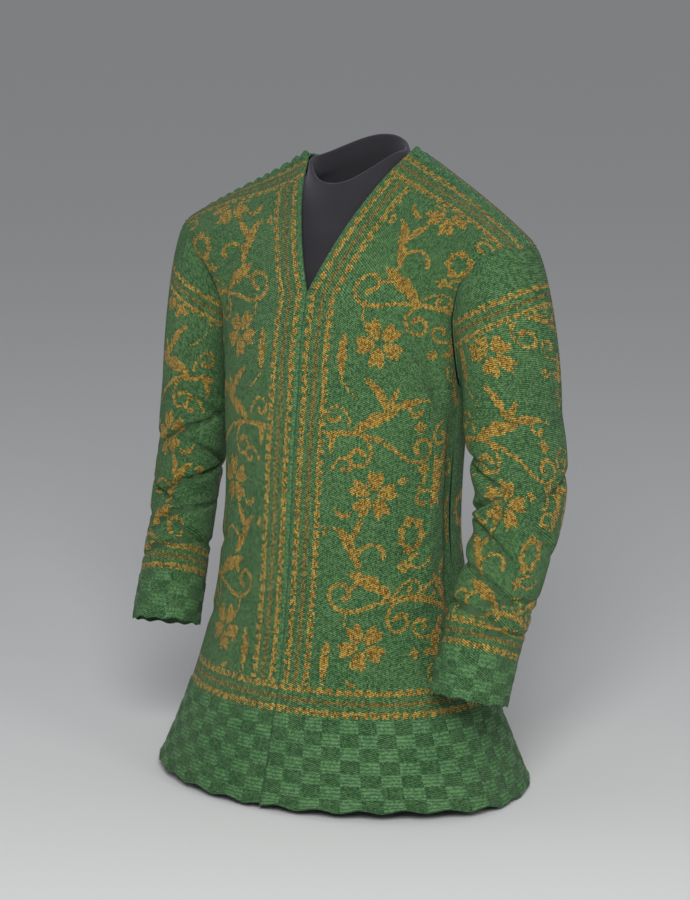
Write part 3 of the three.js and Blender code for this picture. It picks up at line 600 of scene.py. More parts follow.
def knit_material(name, ground, ground_light):
    """Fine silk knit: rows of small V-shaped stitches, ridged where a block stands up, with a pattern
    and borders in gold-wrapped thread."""
    cloth = bpy.data.materials.new(name)
    cloth.use_nodes = True
    tree = cloth.node_tree
    link = tree.links.new
    skin = tree.nodes["Principled BSDF"]
    skin.inputs["Sheen Weight"].default_value = 0.08
    skin.inputs["Specular IOR Level"].default_value = 0.25
    skin.inputs["Sheen Roughness"].default_value = 0.4
    skin.inputs["Sheen Tint"].default_value = SILK_SHEEN

    def maths(kind, first, second=None):
        node = shader(cloth, "ShaderNodeMath")
        node.operation = kind
        for slot, value in enumerate((first, second)):
            if hasattr(value, "is_output"):
                link(value, node.inputs[slot])
            elif value is not None:
                node.inputs[slot].default_value = value
        return node.outputs["Value"]

    def blend(share, first, second, kind="MIX"):
        node = tree.nodes.new("ShaderNodeMix")
        node.data_type = "RGBA"
        node.blend_type = kind
        for slot, value in ((0, share), (6, first), (7, second)):
            if hasattr(value, "is_output"):
                link(value, node.inputs[slot])
            else:
                node.inputs[slot].default_value = value
        return node.outputs[2]

    def smooth_rise(value, start, end):
        node = tree.nodes.new("ShaderNodeMapRange")
        node.interpolation_type = "SMOOTHSTEP"
        node.inputs["From Min"].default_value = start
        node.inputs["From Max"].default_value = end
        link(value, node.inputs["Value"])
        return node.outputs["Result"]

    def attribute(key):
        node = tree.nodes.new("ShaderNodeAttribute")
        node.attribute_name = key
        return node.outputs["Fac"]

    def pair(key):
        uv = tree.nodes.new("ShaderNodeUVMap")
        uv.uv_map = key
        parts = tree.nodes.new("ShaderNodeSeparateXYZ")
        link(uv.outputs["UV"], parts.inputs["Vector"])
        return uv.outputs["UV"], parts.outputs["X"], parts.outputs["Y"]

    def from_middle(value, pitch):
        """0 at the middle of each repeat and 1 at its ends."""
        share = maths("FRACT", maths("DIVIDE", value, pitch))
        return maths("MULTIPLY", maths("ABSOLUTE", maths("SUBTRACT", share, 0.5)), 2.0)

    # Height of the yarn: two slanting legs to a stitch, or the rounded ridges of the raised blocks. It
    # drives the bump, and the painted shade in the low places between them.
    stitch, column, row = pair("stitches")
    block = attribute("block")
    raised = maths("MAXIMUM", block, 0.0)
    sunk = maths("MAXIMUM", maths("MULTIPLY", block, -1.0), 0.0)
    across = maths("ABSOLUTE", maths("SUBTRACT", maths("FRACT", column), 0.5))
    leg = maths("FRACT", maths("ADD", row, maths("MULTIPLY", across, 1.1)))
    legs = maths("MULTIPLY", maths("SINE", maths("MULTIPLY", leg, math.pi)),
                 maths("POWER", maths("SINE", maths("MULTIPLY", across, 2 * math.pi)), 0.5))
    slant = maths("SINE", maths("MULTIPLY", maths("ADD", row, maths("MULTIPLY", column, 0.3)), 2 * math.pi))
    legs = maths("ADD", maths("MULTIPLY", legs, 0.36), maths("MULTIPLY", maths("ADD", slant, 1.0), 0.34))
    sway = maths("MULTIPLY", maths("SINE", maths("MULTIPLY", column, 2 * math.pi)), 0.12)
    ridges = maths("ABSOLUTE", maths("SINE", maths("MULTIPLY", maths("ADD", row, sway), math.pi / 2)))
    ridges = maths("ADD", 0.22, maths("MULTIPLY", ridges, 0.42))
    flat_share = maths("SUBTRACT", 1.0, raised)
    height = maths("ADD", maths("MULTIPLY", legs, flat_share), maths("MULTIPLY", ridges, raised))

    # Gold: the borders, drawn from the distances in and along, and the scroll pattern.
    _, inside, along = pair("border")
    edge = maths("MINIMUM", inside, maths("SUBTRACT", BORDER, inside))
    into_tooth = maths("SUBTRACT", TOOTH_SHARE, from_middle(along, TOOTH_PITCH))
    half_tooth = maths("MULTIPLY", into_tooth, TOOTH_PITCH / 2)
    tooth = maths("MINIMUM", half_tooth, maths("MINIMUM", edge, maths("SUBTRACT", TOOTH_HEIGHT, edge)))
    line = maths("SUBTRACT", LINE_HALF, maths("ABSOLUTE", maths("SUBTRACT", edge, TOOTH_HEIGHT)))
    swing = maths("MULTIPLY", maths("SUBTRACT", from_middle(along, TOOTH_PITCH / 2), 0.5), 2 * ZIGZAG_SWING)
    off_middle = maths("SUBTRACT", inside, BORDER / 2)
    zigzag = maths("SUBTRACT", ZIGZAG_HALF, maths("ABSOLUTE", maths("SUBTRACT", off_middle, swing)))
    drawn = maths("MAXIMUM", maths("MAXIMUM", tooth, line), maths("MAXIMUM", zigzag, attribute("motif")))

    # Colours: each stitch takes the light a little differently, and the gold is duller where it is worn.
    place = tree.nodes.new("ShaderNodeTexCoord").outputs["Object"]
    mottle = shader(cloth, "ShaderNodeTexNoise", Scale=14.0, Detail=4.0)
    fuzz = shader(cloth, "ShaderNodeTexNoise", Scale=1300.0, Detail=1.0)
    worn = shader(cloth, "ShaderNodeTexNoise", Scale=60.0, Detail=4.0)
    for node in (mottle, fuzz, worn):
        link(place, node.inputs["Vector"])
    whole = tree.nodes.new("ShaderNodeVectorMath")
    whole.operation = "FLOOR"
    link(stitch, whole.inputs[0])
    twist = tree.nodes.new("ShaderNodeTexWhiteNoise")
    twist.noise_dimensions = "2D"
    link(whole.outputs["Vector"], twist.inputs["Vector"])
    stray = maths("SUBTRACT", twist.outputs["Value"], 0.5)
    fine = smooth_rise(fuzz.outputs["Fac"], 0.34, 0.66)
    finer = maths("MULTIPLY", maths("SUBTRACT", fine, 0.5), 0.55)
    uneven = maths("ADD", 0.5, maths("ADD", maths("MULTIPLY", stray, 0.5), finer))
    by_leg = maths("MULTIPLY", maths("SUBTRACT", legs, 0.5), 0.6)
    frayed = maths("ADD", drawn, maths("ADD", maths("MULTIPLY", stray, 1.5), by_leg))
    flecks = maths("MULTIPLY", smooth_rise(uneven, 0.33, 0.15), 0.85)
    gold = maths("MULTIPLY", smooth_rise(frayed, -0.35, 0.35), maths("SUBTRACT", 1.0, flecks))
    green = blend(smooth_rise(mottle.outputs["Fac"], 0.35, 0.65), ground, ground_light)
    green = blend(maths("MULTIPLY", smooth_rise(uneven, 0.5, 0.8), 0.75), green, BRIGHT_GREEN)
    green = blend(maths("MULTIPLY", smooth_rise(uneven, 0.46, 0.2), 0.8), green, SHADOW_GREEN)
    # Painted light and shade: raised blocks are tinted lighter and sunk blocks darker, as light falls on
    # them.
    green = blend(maths("MULTIPLY", raised, 0.2), green, PAINTED_LIGHT_RAISED_GREEN)
    green = blend(maths("MULTIPLY", sunk, 0.32), green, DARK_GREEN_AND_SUNK_SHADE)
    thread = shader(cloth, "ShaderNodeValToRGB")
    stops = thread.color_ramp.elements
    stops[0].position, stops[0].color = 0.14, GOLD_DARK
    stops[1].position, stops[1].color = 0.84, GOLD_BRIGHT
    stops.new(0.34).color = GOLD_TARNISHED
    stops.new(0.54).color = GOLD
    link(uneven, thread.inputs["Fac"])
    rubbed = maths("MULTIPLY", smooth_rise(worn.outputs["Fac"], 0.45, 0.7), 0.25)
    tarnish = blend(rubbed, thread.outputs["Color"], GOLD_TARNISHED)
    dull = maths("MULTIPLY", smooth_rise(zigzag, -0.6, 0.6), 0.5)
    tarnish = blend(dull, tarnish, GOLD_DARK)
    colour = blend(gold, green, tarnish)
    # Painted shade: the colour is darkened towards black where the yarn lies low, in the gaps between the
    # stitch legs and between the ridges.
    depth = maths("MULTIPLY", maths("SUBTRACT", 1.0, height), 0.8)
    link(blend(depth, colour, (0.0, 0.0, 0.0, 1.0)), skin.inputs["Base Color"])
    link(maths("SUBTRACT", 0.68, maths("MULTIPLY", gold, 0.2)), skin.inputs["Roughness"])
    link(maths("MULTIPLY", gold, 0.3), skin.inputs["Metallic"])
    relief = shader(cloth, "ShaderNodeBump", Strength=0.9, Distance=0.0011)
    link(height, relief.inputs["Height"])
    link(relief.outputs["Normal"], skin.inputs["Normal"])
    return cloth


silk_knit = knit_material("silk_knit", GREEN, GREEN_LIGHT)

# Share of the way up at which the knit rows lie: the hem band, the plain part, then the yoke.
band_levels = np.linspace(0.0, (BAND_TOP_Z - HEM_Z) / (UNDERARM_Z - HEM_Z), BLOCK_ROWS * ROWS_PER_BLOCK + 1)
plain_levels = np.linspace(band_levels[-1], 1.0, PLAIN_ROWS + 1)[1:]
V_ROWS = 44
YOKE_EASE = 1.5
over_v = np.linspace(0.0, 1.0, YOKE_ROWS - V_ROWS + 1)[1:]
beside_v = np.linspace(0.0, V_RISE, V_ROWS + 1)[1:]
yoke_rises = np.concatenate([beside_v, V_RISE + (1 - V_RISE) * (1 - (1 - over_v) ** YOKE_EASE)])
levels = np.concatenate([band_levels, plain_levels, 1.0 + yoke_rises])
ARC_SAMPLES = 160


def even_turns(first, last, level, shares):
    """Turns that divide one knit row into even stitches."""
    turns = np.linspace(first, last, ARC_SAMPLES)
    points = body_point(turns, level)
    lengths = np.concatenate([[0.0], np.cumsum(np.linalg.norm(np.diff(points, axis=0), axis=1))])
    return np.interp(shares * lengths[-1], lengths, turns)


def hem_scallops(blocks):
    return HEM_WAVE * 0.5 * (1 - np.cos(2 * math.pi * blocks / HEM_WAVE_BLOCKS))


ARMHOLE_PLACES = 24
ARMHOLE_TOP = 12
ARMHOLE_LOW = 4
ARMHOLE_HIGH = ARMHOLE_TOP - ARMHOLE_LOW
ARMHOLE_EASE = 1.35


def armhole_index(rise, front):
    """Place of a point of the armhole, counted round from the underarm, up the front and down the back."""
    rise = np.asarray(rise, float)
    low = ARMHOLE_LOW * rise / V_RISE
    above = np.clip((rise - V_RISE) / (1 - V_RISE), 0, 1)
    high = ARMHOLE_LOW + ARMHOLE_HIGH * (1 - (1 - above) ** (1 / ARMHOLE_EASE))
    index = np.where(rise <= V_RISE, low, high)
    return index if front else ARMHOLE_PLACES - index


def armhole_rise(index):
    """Rise above the underarm of a place of the armhole."""
    index = np.where(index > ARMHOLE_TOP, ARMHOLE_PLACES - index, index)
    low = V_RISE * index / ARMHOLE_LOW
    above = np.clip((index - ARMHOLE_LOW) / ARMHOLE_HIGH, 0, 1)
    high = V_RISE + (1 - V_RISE) * (1 - (1 - above) ** ARMHOLE_EASE)
    return np.where(index <= ARMHOLE_LOW, low, high)


def armhole_point(index):
    """Points of the wearer's left armhole, and the way that the body's cloth faces there."""
    index = np.mod(np.asarray(index, float), float(ARMHOLE_PLACES))
    rise = armhole_rise(index)
    front = index <= ARMHOLE_TOP
    turn = np.where(front, armhole_turn(rise, True), armhole_turn(rise, False))
    normal = body_normal(turn, 1 + rise)
    at_tip = smoothstep(rise, 0.97, 1.0)[..., None]
    normal = unit(mix(normal, unit(normal + body_normal(-turn, 1 + rise)), at_tip))
    return body_point(turn, 1 + rise), normal


SHOULDER_DROP = unit(np.array([0.5, 0.0, -0.87]))


def armhole_inward(index):
    """Step from the outer to the inner face of the cloth where body and sleeve meet."""
    step = 0.05
    ahead, behind = armhole_point(index + step)[0], armhole_point(index - step)[0]
    panel = armhole_point(index)[1]
    sleeve = unit(np.cross(SHOULDER_DROP, ahead - behind))
    inward = unit(panel + sleeve)
    lean = np.maximum(np.sum(inward * panel, axis=-1, keepdims=True), LEAST_LEAN)
    return -inward * CLOTH / lean


EDGE_ROLL = 1.3
EDGE_ROLL_WIDTH = 2.4
# The cloth ruffles just below the shoulder seam, less and less towards its last column.
RUFFLE = 1.9
RUFFLE_PITCH = 12.0
RUFFLE_BASE = 0.25
RUFFLE_BELOW = 4.0
RUFFLE_BROAD = 4.6
RUFFLE_LEVELS = (1.8, 1.9)
RUFFLE_LAST = 0.45
RUFFLE_UNEVEN = 0.4
RUFFLE_UNEVEN_PITCH = 17.0
SEAM_ROLL = 1.3
SEAM_ROLL_WIDTH = 4.5


def edge_roll(distance, sewn):
    """The cloth turns in a little where it ends or is sewn."""
    depth, width = (SEAM_ROLL, SEAM_ROLL_WIDTH) if sewn else (EDGE_ROLL, EDGE_ROLL_WIDTH)
    return depth * np.exp(-((distance / width) ** 2))


def body_panel(name, turns_of_row, stitches, rise_of, first_block, gap, folds, chart_maker, mirrored,
               sewn, armholes, on_front, edges):
    """A front or the back. sewn tells for its first and last column whether it is a seam; armholes lists
    the columns that end at an armhole, each with whether it is the wearer's right one."""
    shares = np.linspace(0.0, 1.0, stitches + 1)
    turns = np.stack([turns_of_row(level, shares) for level in levels])
    rows, count = turns.shape
    level_grid = np.repeat(levels[:, None], count, axis=1)
    risen = rise_of(np.broadcast_to(shares, turns.shape), level_grid)
    level_grid = np.where(level_grid > 1, risen, level_grid)
    points = body_point(turns, level_grid)
    normals = grid_normals(points)
    across = run_lengths(points, 1)
    width = across[:, -1:]
    up = np.repeat(run_lengths(points, 0)[:, count // 2][:, None], count, axis=1)
    block = np.broadcast_to(np.arange(count) / STITCHES_PER_BLOCK, turns.shape) + first_block
    block_row = np.clip(np.arange(rows) / ROWS_PER_BLOCK, 0, BLOCK_ROWS)[:, None]
    soft = np.tanh(BLOCK_CRISPNESS * np.sin(math.pi * block) * np.sin(math.pi * block_row))
    soft = soft * (block_row < BLOCK_ROWS)
    offset = BLOCK_RELIEF * 0.5 * (soft + 1) * (block_row < BLOCK_ROWS)
    offset = offset - creases(across, up, folds)
    lengths = run_lengths(points, 0)
    below_top = lengths[-1:] - lengths
    uneven = RUFFLE_UNEVEN * np.sin(across / RUFFLE_UNEVEN_PITCH)
    lobes = np.abs(np.sin(math.pi * (width - across) / RUFFLE_PITCH + uneven))
    ruffle = RUFFLE * (RUFFLE_BASE + lobes) * np.exp(-(((below_top - RUFFLE_BELOW) / RUFFLE_BROAD) ** 2))
    ruffle = ruffle * smoothstep(level_grid, *RUFFLE_LEVELS)
    offset = offset + ruffle * mix(1.0, RUFFLE_LAST, across / width)
    offset = offset - edge_roll(across, sewn[0]) - edge_roll(width - across, sewn[1])
    points = points + normals * offset[..., None]
    scallops = hem_scallops(block) * (1 - smoothstep(points[..., 2], HEM_Z, HEM_Z + HEM_WAVE_HEIGHT))
    points = shape_skirt(points, turns, mirrored)
    points[..., 2] += scallops
    points = points + np.array(gap)
    normals = grid_normals(points)
    inward = -normals * CLOTH
    # Where front and back meet on the shoulder the cloth is cut upright; at the armhole it is mitred.
    top = smoothstep(level_grid, 1.97, 2.0)[..., None]
    upright = unit(normals * np.array([1.0, 0.0, 1.0]))
    lean = np.maximum(np.sum(upright * normals, axis=-1, keepdims=True), LEAST_LEAN)
    inward = mix(inward, -upright * CLOTH / lean, top)
    rises = np.clip(level_grid - 1, 0, 1)
    for column, right_side in armholes:
        mitre = armhole_inward(armhole_index(rises[:, column], on_front))
        if right_side:
            mitre = mitre * np.array([-1.0, 1.0, 1.0])
        above = (level_grid[:, column] >= 1)[:, None]
        inward[:, column] = np.where(above, mitre, inward[:, column])
    chart = chart_maker(across, up, points, soft)
    if mirrored:
        points = points[:, ::-1] * np.array([-1.0, 1.0, 1.0])
        inward = inward[:, ::-1] * np.array([-1.0, 1.0, 1.0])
        chart = mirrored_chart(chart)
    piece = knit_piece(name, points, inward, silk_knit, chart, edges)
    area = 0.5 * sum(face.area for face in piece.data.polygons)
    return piece, area


def mirrored_chart(chart):
    flipped = {key: chart[key][:, ::-1] for key in ("motif", "choice", "block")}
    flipped["borders"] = [(inside[:, ::-1], along[:, ::-1]) for inside, along in chart["borders"]]
    return flipped


def middles(grid):
    return 0.25 * (grid[1:, 1:] + grid[:-1, 1:] + grid[1:, :-1] + grid[:-1, :-1])


# The gold pattern is an ordinary scrolling stem: curved strokes for stems, curls and lobed leaves, and
# between them flowers of five petals, lumpy ring buds and small sprigs. Places are in millimetres out
# from the front edge and up from a flower; a heading of 0 runs outwards and 90 runs up.
SCROLL_PIECES = 22
REPEAT = 155.0
SCROLL_REACH = 60.0
STROKE_MARGIN = 3.0
PETALS = 5
scroll_strokes = {
    "up": columns(
        "out up heading bend curl length root middle tip lobes",
        (186, -126, 146, 52, 12, 112, 2.8, 2.2, 1.8, 0),
        (80.5, -118, 196, -70, -290, 84, 1.9, 1.6, 2.6, 0),
        (124, -104, 214, 70, 330, 86, 1.6, 1.5, 2.6, 0),
        (116, -103, 66, -50, -330, 64, 1.2, 1.2, 2.2, 0),
        (112, -104, 142, 22, 0, 52, 1.8, 6.6, 1.2, 3),
        (78, -76, 112, 20, 0, 46, 2.0, 4.6, 1.2, 4),
        (66, -44, 140, 20, 0, 20, 1.6, 2.8, 1.0, 0),
        (69, -46, 78, -20, 0, 24, 1.8, 3.2, 1.0, 0),
        (74, -62, 66, -80, -90, 40, 1.9, 1.5, 2.6, 0),
        (88, -88, 176, 60, 0, 20, 1.4, 2.6, 1.0, 0),
        (66, -116, 262, 18, 0, 20, 1.0, 1.0, 1.0, 0),
        (180, -120, 108, 30, 0, 44, 2.2, 5.0, 1.2, 4),
        (168, -84, 74, -30, 0, 22, 1.6, 2.8, 1.0, 0),
        (172, -98, 140, 60, 250, 52, 1.8, 1.4, 2.4, 0),
        (172, -128, 246, 30, 0, 42, 2.0, 4.8, 1.2, 4),
        (160, -146, 196, -60, -260, 50, 1.6, 1.4, 2.4, 0),
        (50, -14, 296, 50, 70, 20, 1.0, 2.6, 1.0, 0),
        (152, -64, 250, -50, -220, 42, 1.2, 1.2, 2.2, 0),
        (158, -10, 112, 40, 230, 46, 1.3, 1.3, 2.3, 0),
        (196, -70, 96, 30, 0, 34, 1.6, 4.4, 1.2, 3),
    ),
    "down": columns(
        "out up heading bend curl length root middle tip lobes",
        (38, -94, 12, -46, -10, 80, 2.8, 2.2, 1.8, 0),
        (113, -113, -44, 80, 290, 80, 1.9, 1.6, 2.6, 0),
        (70, -91, -34, -70, -330, 82, 1.6, 1.5, 2.6, 0),
        (66, -89, 34, -20, 0, 46, 1.8, 6.4, 1.2, 3),
        (98, -66, 56, 20, 0, 22, 1.8, 3.0, 1.0, 0),
        (96, -66, 108, 36, 0, 38, 2.0, 4.2, 1.2, 4),
        (102, -68, 30, -30, 0, 32, 2.0, 4.2, 1.2, 3),
        (60, -84, 92, 70, 260, 56, 1.2, 1.3, 2.4, 0),
        (48, -92, 226, 60, 0, 22, 1.4, 2.8, 1.0, 0),
        (50, 4, 262, 14, 0, 40, 1.6, 4.6, 1.2, 3),
        (48, -38, 306, 14, 0, 28, 0.8, 0.8, 0.8, 0),
        (176, -98, 252, -30, 0, 42, 2.0, 4.6, 1.4, 4),
        (160, -82, 214, 70, 260, 50, 1.6, 1.4, 2.4, 0),
        (150, -168, 66, 40, 0, 52, 1.8, 4.8, 1.3, 4),
        (172, -150, 118, -70, -260, 54, 1.8, 1.5, 2.5, 0),
        (142, -60, 160, 50, 240, 44, 1.3, 1.3, 2.4, 0),
        (134, -150, 30, 60, 80, 28, 1.0, 1.6, 2.2, 0),
        (186, -6, 196, -30, 0, 34, 1.6, 4.0, 1.2, 3),
        (162, -20, 250, 70, 260, 44, 1.3, 1.3, 2.3, 0),
        (44, -130, 70, -40, -260, 44, 1.3, 1.3, 2.3, 0),
    ),
}
scroll_flowers = {
    "up": columns("out up reach turn", (88, 0, 25, 12)),
    "down": columns("out up reach turn", (86, 0, 25, 48)),
}
scroll_buds = {
    "up": columns("out up reach", (130, -42, 12.0), (194, -24, 12.0)),
    "down": columns("out up reach", (186, -50, 12.0)),
}
scroll_sprigs = {
    "up": columns("out up reach", (124, -74, 6.5), (38, -38, 5.5), (140, 26, 6.0)),
    "down": columns("out up reach", (134, -86, 6.5), (118, -140, 5.0), (142, -8, 5.5)),
}


def stroke_field(out, up, stroke):
    """How far inside a curved stroke each place lies. Its heading turns by bend along its length, and
    by curl more and more towards its tip; lobes notch its sides as a leaf's are."""
    t = np.linspace(0.0, 1.0, SCROLL_PIECES + 1)
    way = np.radians(stroke["heading"] + stroke["bend"] * t + stroke["curl"] * t * t)
    step = stroke["length"] / SCROLL_PIECES
    middle_way = 0.5 * (way[1:] + way[:-1])
    x = stroke["out"] + np.concatenate([[0.0], np.cumsum(step * np.cos(middle_way))])
    y = stroke["up"] + np.concatenate([[0.0], np.cumsum(step * np.sin(middle_way))])
    reach = max(stroke["root"], stroke["middle"], stroke["tip"]) + STROKE_MARGIN
    near = (out > x.min() - reach) & (out < x.max() + reach)
    near &= (up > y.min() - reach) & (up < y.max() + reach)
    field = np.full(out.shape, FAR_OUTSIDE)
    if not near.any():
        return field
    px, py = out[near], up[near]
    best = np.full(px.shape, FAR_OUTSIDE)
    for i in range(SCROLL_PIECES):
        ax, ay, bx, by = x[i], y[i], x[i + 1] - x[i], y[i + 1] - y[i]
        along = np.clip(((px - ax) * bx + (py - ay) * by) / (bx * bx + by * by), 0.0, 1.0)
        away = np.hypot(px - ax - along * bx, py - ay - along * by)
        s = (i + along) / SCROLL_PIECES
        half = np.where(
            s < 0.5,
            stroke["root"] + (stroke["middle"] - stroke["root"]) * np.sin(math.pi * s),
            stroke["tip"] + (stroke["middle"] - stroke["tip"]) * np.sin(math.pi * s),
        )
        if stroke["lobes"]:
            half = half * (0.62 + 0.5 * np.abs(np.sin(math.pi * stroke["lobes"] * s)))
        best = np.maximum(best, half - away)
    field[near] = best
    return field


def flower_field(out, up, flower):
    """Five separate petals, each notched like a heart, round a small open eye."""
    x, y = out - flower["out"], up - flower["up"]
    r = np.hypot(x, y)
    petal = 2 * math.pi / PETALS
    turn = np.arctan2(y, x) - math.radians(flower["turn"])
    turn = turn - petal * np.round(turn / petal)
    along, side = r * np.cos(turn), np.abs(r * np.sin(turn))
    reach = flower["reach"]
    broad = 0.32 * reach * np.sin(np.clip((along - 0.16 * reach) / (0.84 * reach), 0, 1) * 2.35) ** 0.7
    notch = along - reach + 0.16 * reach * np.exp(-((side / (0.1 * reach)) ** 2)) + 0.012 * side**2
    return np.maximum(np.minimum(np.minimum(broad - side, -notch), along - 0.16 * reach), FAR_OUTSIDE)


def bud_field(out, up, bud):
    """An open ring of seven lumps."""
    x, y = out - bud["out"], up - bud["up"]
    lumps = 0.5 + 0.5 * np.cos(7 * np.arctan2(y, x))
    return np.maximum(1.2 + 3.4 * lumps - np.abs(np.hypot(x / 0.92, y / 1.25) - bud["reach"]), FAR_OUTSIDE)


def sprig_field(out, up, sprig):
    """Four small dots in a cross."""
    x, y = np.abs(out - sprig["out"]), np.abs(up - sprig["up"])
    long, short = np.maximum(x, y), np.minimum(x, y)
    return np.maximum(0.42 * sprig["reach"] - np.hypot(long - 0.6 * sprig["reach"], short), FAR_OUTSIDE)


def rows_of(table):
    """The rows of a table, each with its values by the name of their column."""
    count = len(next(iter(table.values())))
    return [{key: float(values[i]) for key, values in table.items()} for i in range(count)]


def scroll_pattern(out, up, flower_up):
    """How far inside the gold pattern each place lies; flower_up is the height of a flower with an
    upward-growing scroll below it, and the two kinds of scroll take turns above and below it."""
    field = np.full(out.shape, FAR_OUTSIDE)
    first = int(math.floor((up.min() - flower_up) / REPEAT)) - 1
    last = int(math.ceil((up.max() - flower_up) / REPEAT)) + 2
    for turn in range(first, last):
        kind = "up" if turn % 2 == 0 else "down"
        height = up - flower_up - turn * REPEAT
        inside = (height > -REPEAT - SCROLL_REACH) & (height < SCROLL_REACH)
        if not inside.any():
            continue
        x, y, best = out[inside], height[inside], field[inside]
        for draw, motifs in ((stroke_field, scroll_strokes), (flower_field, scroll_flowers),
                             (bud_field, scroll_buds), (sprig_field, scroll_sprigs)):
            for motif in rows_of(motifs[kind]):
                best = np.maximum(best, draw(x, y, motif))
        field[inside] = best
    return field


FRONT_BORDER_START = 4.5
HEM_BORDER_START = 2.0
SHOULDER_BORDER_START = 10.0
PATTERN_MARGIN = 1.5
FLOWER_UP = 328.0
BACK_PATTERN_SHIFT = 34.0
EDGE_BAND_IN = 0.5
# How far the garter strip along the front edge counts as raised: it sets its ridges and its painted light.
EDGE_BAND_RIDGES_AND_LIGHT = 0.5
NO_FRONT_EDGE = 400.0


def panel_chart(across, up, points, blocks, from_edge, out):
    """The pattern of a front or of the back: a border along each front edge, above the hem band and
    below the shoulder seam, and the scroll between them. out is the way out from the middle."""
    lengths = run_lengths(points, 0)
    from_top = lengths[-1:] - lengths
    band_rows = BLOCK_ROWS * ROWS_PER_BLOCK
    above_hem = up - up[band_rows] - HEM_BORDER_START
    below_top = from_top - SHOULDER_BORDER_START
    choice = np.full(blocks.shape, -1)
    far = middles(from_edge) - FRONT_BORDER_START
    low, high = middles(above_hem), middles(below_top)
    choice[(far > 0) & (far < BORDER)] = 0
    choice[(high > 0) & (high < BORDER)] = 2
    choice[(low > 0) & (low < BORDER)] = 1
    free = (from_edge > FRONT_BORDER_START + BORDER + PATTERN_MARGIN) & (below_top > BORDER + PATTERN_MARGIN)
    free &= above_hem > BORDER + PATTERN_MARGIN
    motif = np.where(free, scroll_pattern(out, up, FLOWER_UP), FAR_OUTSIDE)
    block = np.where((low < -HEM_BORDER_START), np.where(blocks > 0, 1.0, -1.0), 0.0)
    block = np.where((far < -EDGE_BAND_IN) & (low > 0), EDGE_BAND_RIDGES_AND_LIGHT, block)
    choice[(low < 0) | (high < 0)] = -1
    borders = [(from_edge - FRONT_BORDER_START, up), (above_hem, across), (below_top, across)]
    return {"motif": motif, "borders": borders, "choice": choice, "block": block}


def front_chart(across, up, points, soft):
    return panel_chart(across, up, points, middles(soft), across, across)


def back_chart(across, up, points, soft):
    out = np.abs(across - across[:, -1:] / 2)
    from_edge = np.full_like(across, NO_FRONT_EDGE)
    return panel_chart(across, up, points, middles(soft), from_edge, out + BACK_PATTERN_SHIFT)


def neck_x(rise):
    return NECK_HALF * max(rise - V_RISE, 0.0) / (1 - V_RISE)


def front_turns(level, shares):
    rise = max(level - 1.0, 0.0)
    inner = float(turn_at(np.array(neck_x(rise)), rise, True)) if rise > V_RISE else -math.pi / 2
    outer = float(armhole_turn(np.array(rise), True)) if rise > 0 else 0.0
    return even_turns(inner, outer, level, shares)


def back_turns(level, shares):
    rise = max(level - 1.0, 0.0)
    side = np.abs(shares - 0.5) * 2
    outer = float(armhole_turn(np.array(rise), False)) if rise > 0 else 0.0
    even = even_turns(math.pi / 2, outer, level, np.concatenate([side, [NECK_SHARE]]))
    even, even_neck = even[:-1], even[-1]
    neck = mix(even_neck, float(turn_at(np.array(NECK_HALF), rise, False)), rise**2)
    middle = math.pi / 2
    turn = np.where(
        side <= NECK_SHARE,
        middle + (even - middle) * (neck - middle) / (even_neck - middle),
        neck + (even - even_neck) * (outer - neck) / (outer - even_neck),
    )
    return np.where(shares < 0.5, turn, math.pi - turn)


def front_rise(shares, level):
    """The front's knit rows run level."""
    return level


def back_rise(shares, level):
    """The back's knit rows dip towards the scoop of the neck."""
    side = np.abs(shares - 0.5) * 2
    scoop = np.sqrt(np.maximum(1 - (side / NECK_SHARE) ** 2, 0))
    rise = level - 1
    return 1 + rise * (1 - (1 - BACK_NECK_RISE) * scoop * rise**2)


def fold_list(*rows):
    """Folds by their two ends (across, up), depth, half width and bow to one side."""
    return [
        {"start": row[0:2], "end": row[2:4], "depth": row[4], "width": row[5], "bow": row[6]} for row in rows
    ]


front_folds = {
    "left": fold_list(
        (190, 150, 176, 440, 3.2, 12, 0),
        (152, 200, 160, 360, -2.0, 12, 4),
        (118, 500, 156, 410, 2.6, 9, 6),
        (96, 572, 140, 498, 2.4, 8, -5),
        (60, 150, 75, 330, 1.4, 16, 0),
        (120, 455, 172, 400, 1.8, 7, 4),
        (104, 250, 168, 292, 1.5, 8, -4),
        (112, 176, 170, 212, 1.6, 8, 4),
        (70, 585, 118, 560, 1.6, 7, 3),
        (44, 425, 92, 470, 1.1, 9, 4),
    ),
    "right": fold_list(
        (190, 150, 178, 440, 3.0, 12, 0),
        (150, 230, 156, 370, -1.8, 12, -4),
        (122, 480, 158, 405, 2.4, 9, 5),
        (90, 560, 138, 505, 2.2, 8, 5),
        (70, 180, 62, 340, 1.4, 16, 0),
        (100, 268, 166, 240, 1.6, 8, 4),
        (116, 196, 170, 168, 1.5, 8, -4),
        (128, 440, 176, 385, 1.6, 7, -3),
        (76, 592, 120, 556, 1.5, 7, -3),
    ),
}
back_folds = fold_list(
    (35, 150, 55, 430, 4.6, 13, 0),
    (405, 160, 378, 420, 4.4, 13, 0),
    (170, 140, 195, 300, 2.0, 20, 6),
    (290, 150, 262, 320, 1.8, 18, -5),
    (84, 492, 180, 455, 2.4, 9, -5),
    (346, 484, 262, 452, 2.2, 9, 5),
    (62, 300, 150, 262, 1.6, 9, -4),
    (372, 318, 292, 286, 1.5, 9, 4),
    (96, 560, 168, 590, 1.6, 8, 4),
    (330, 566, 262, 588, 1.5, 8, -4),
)

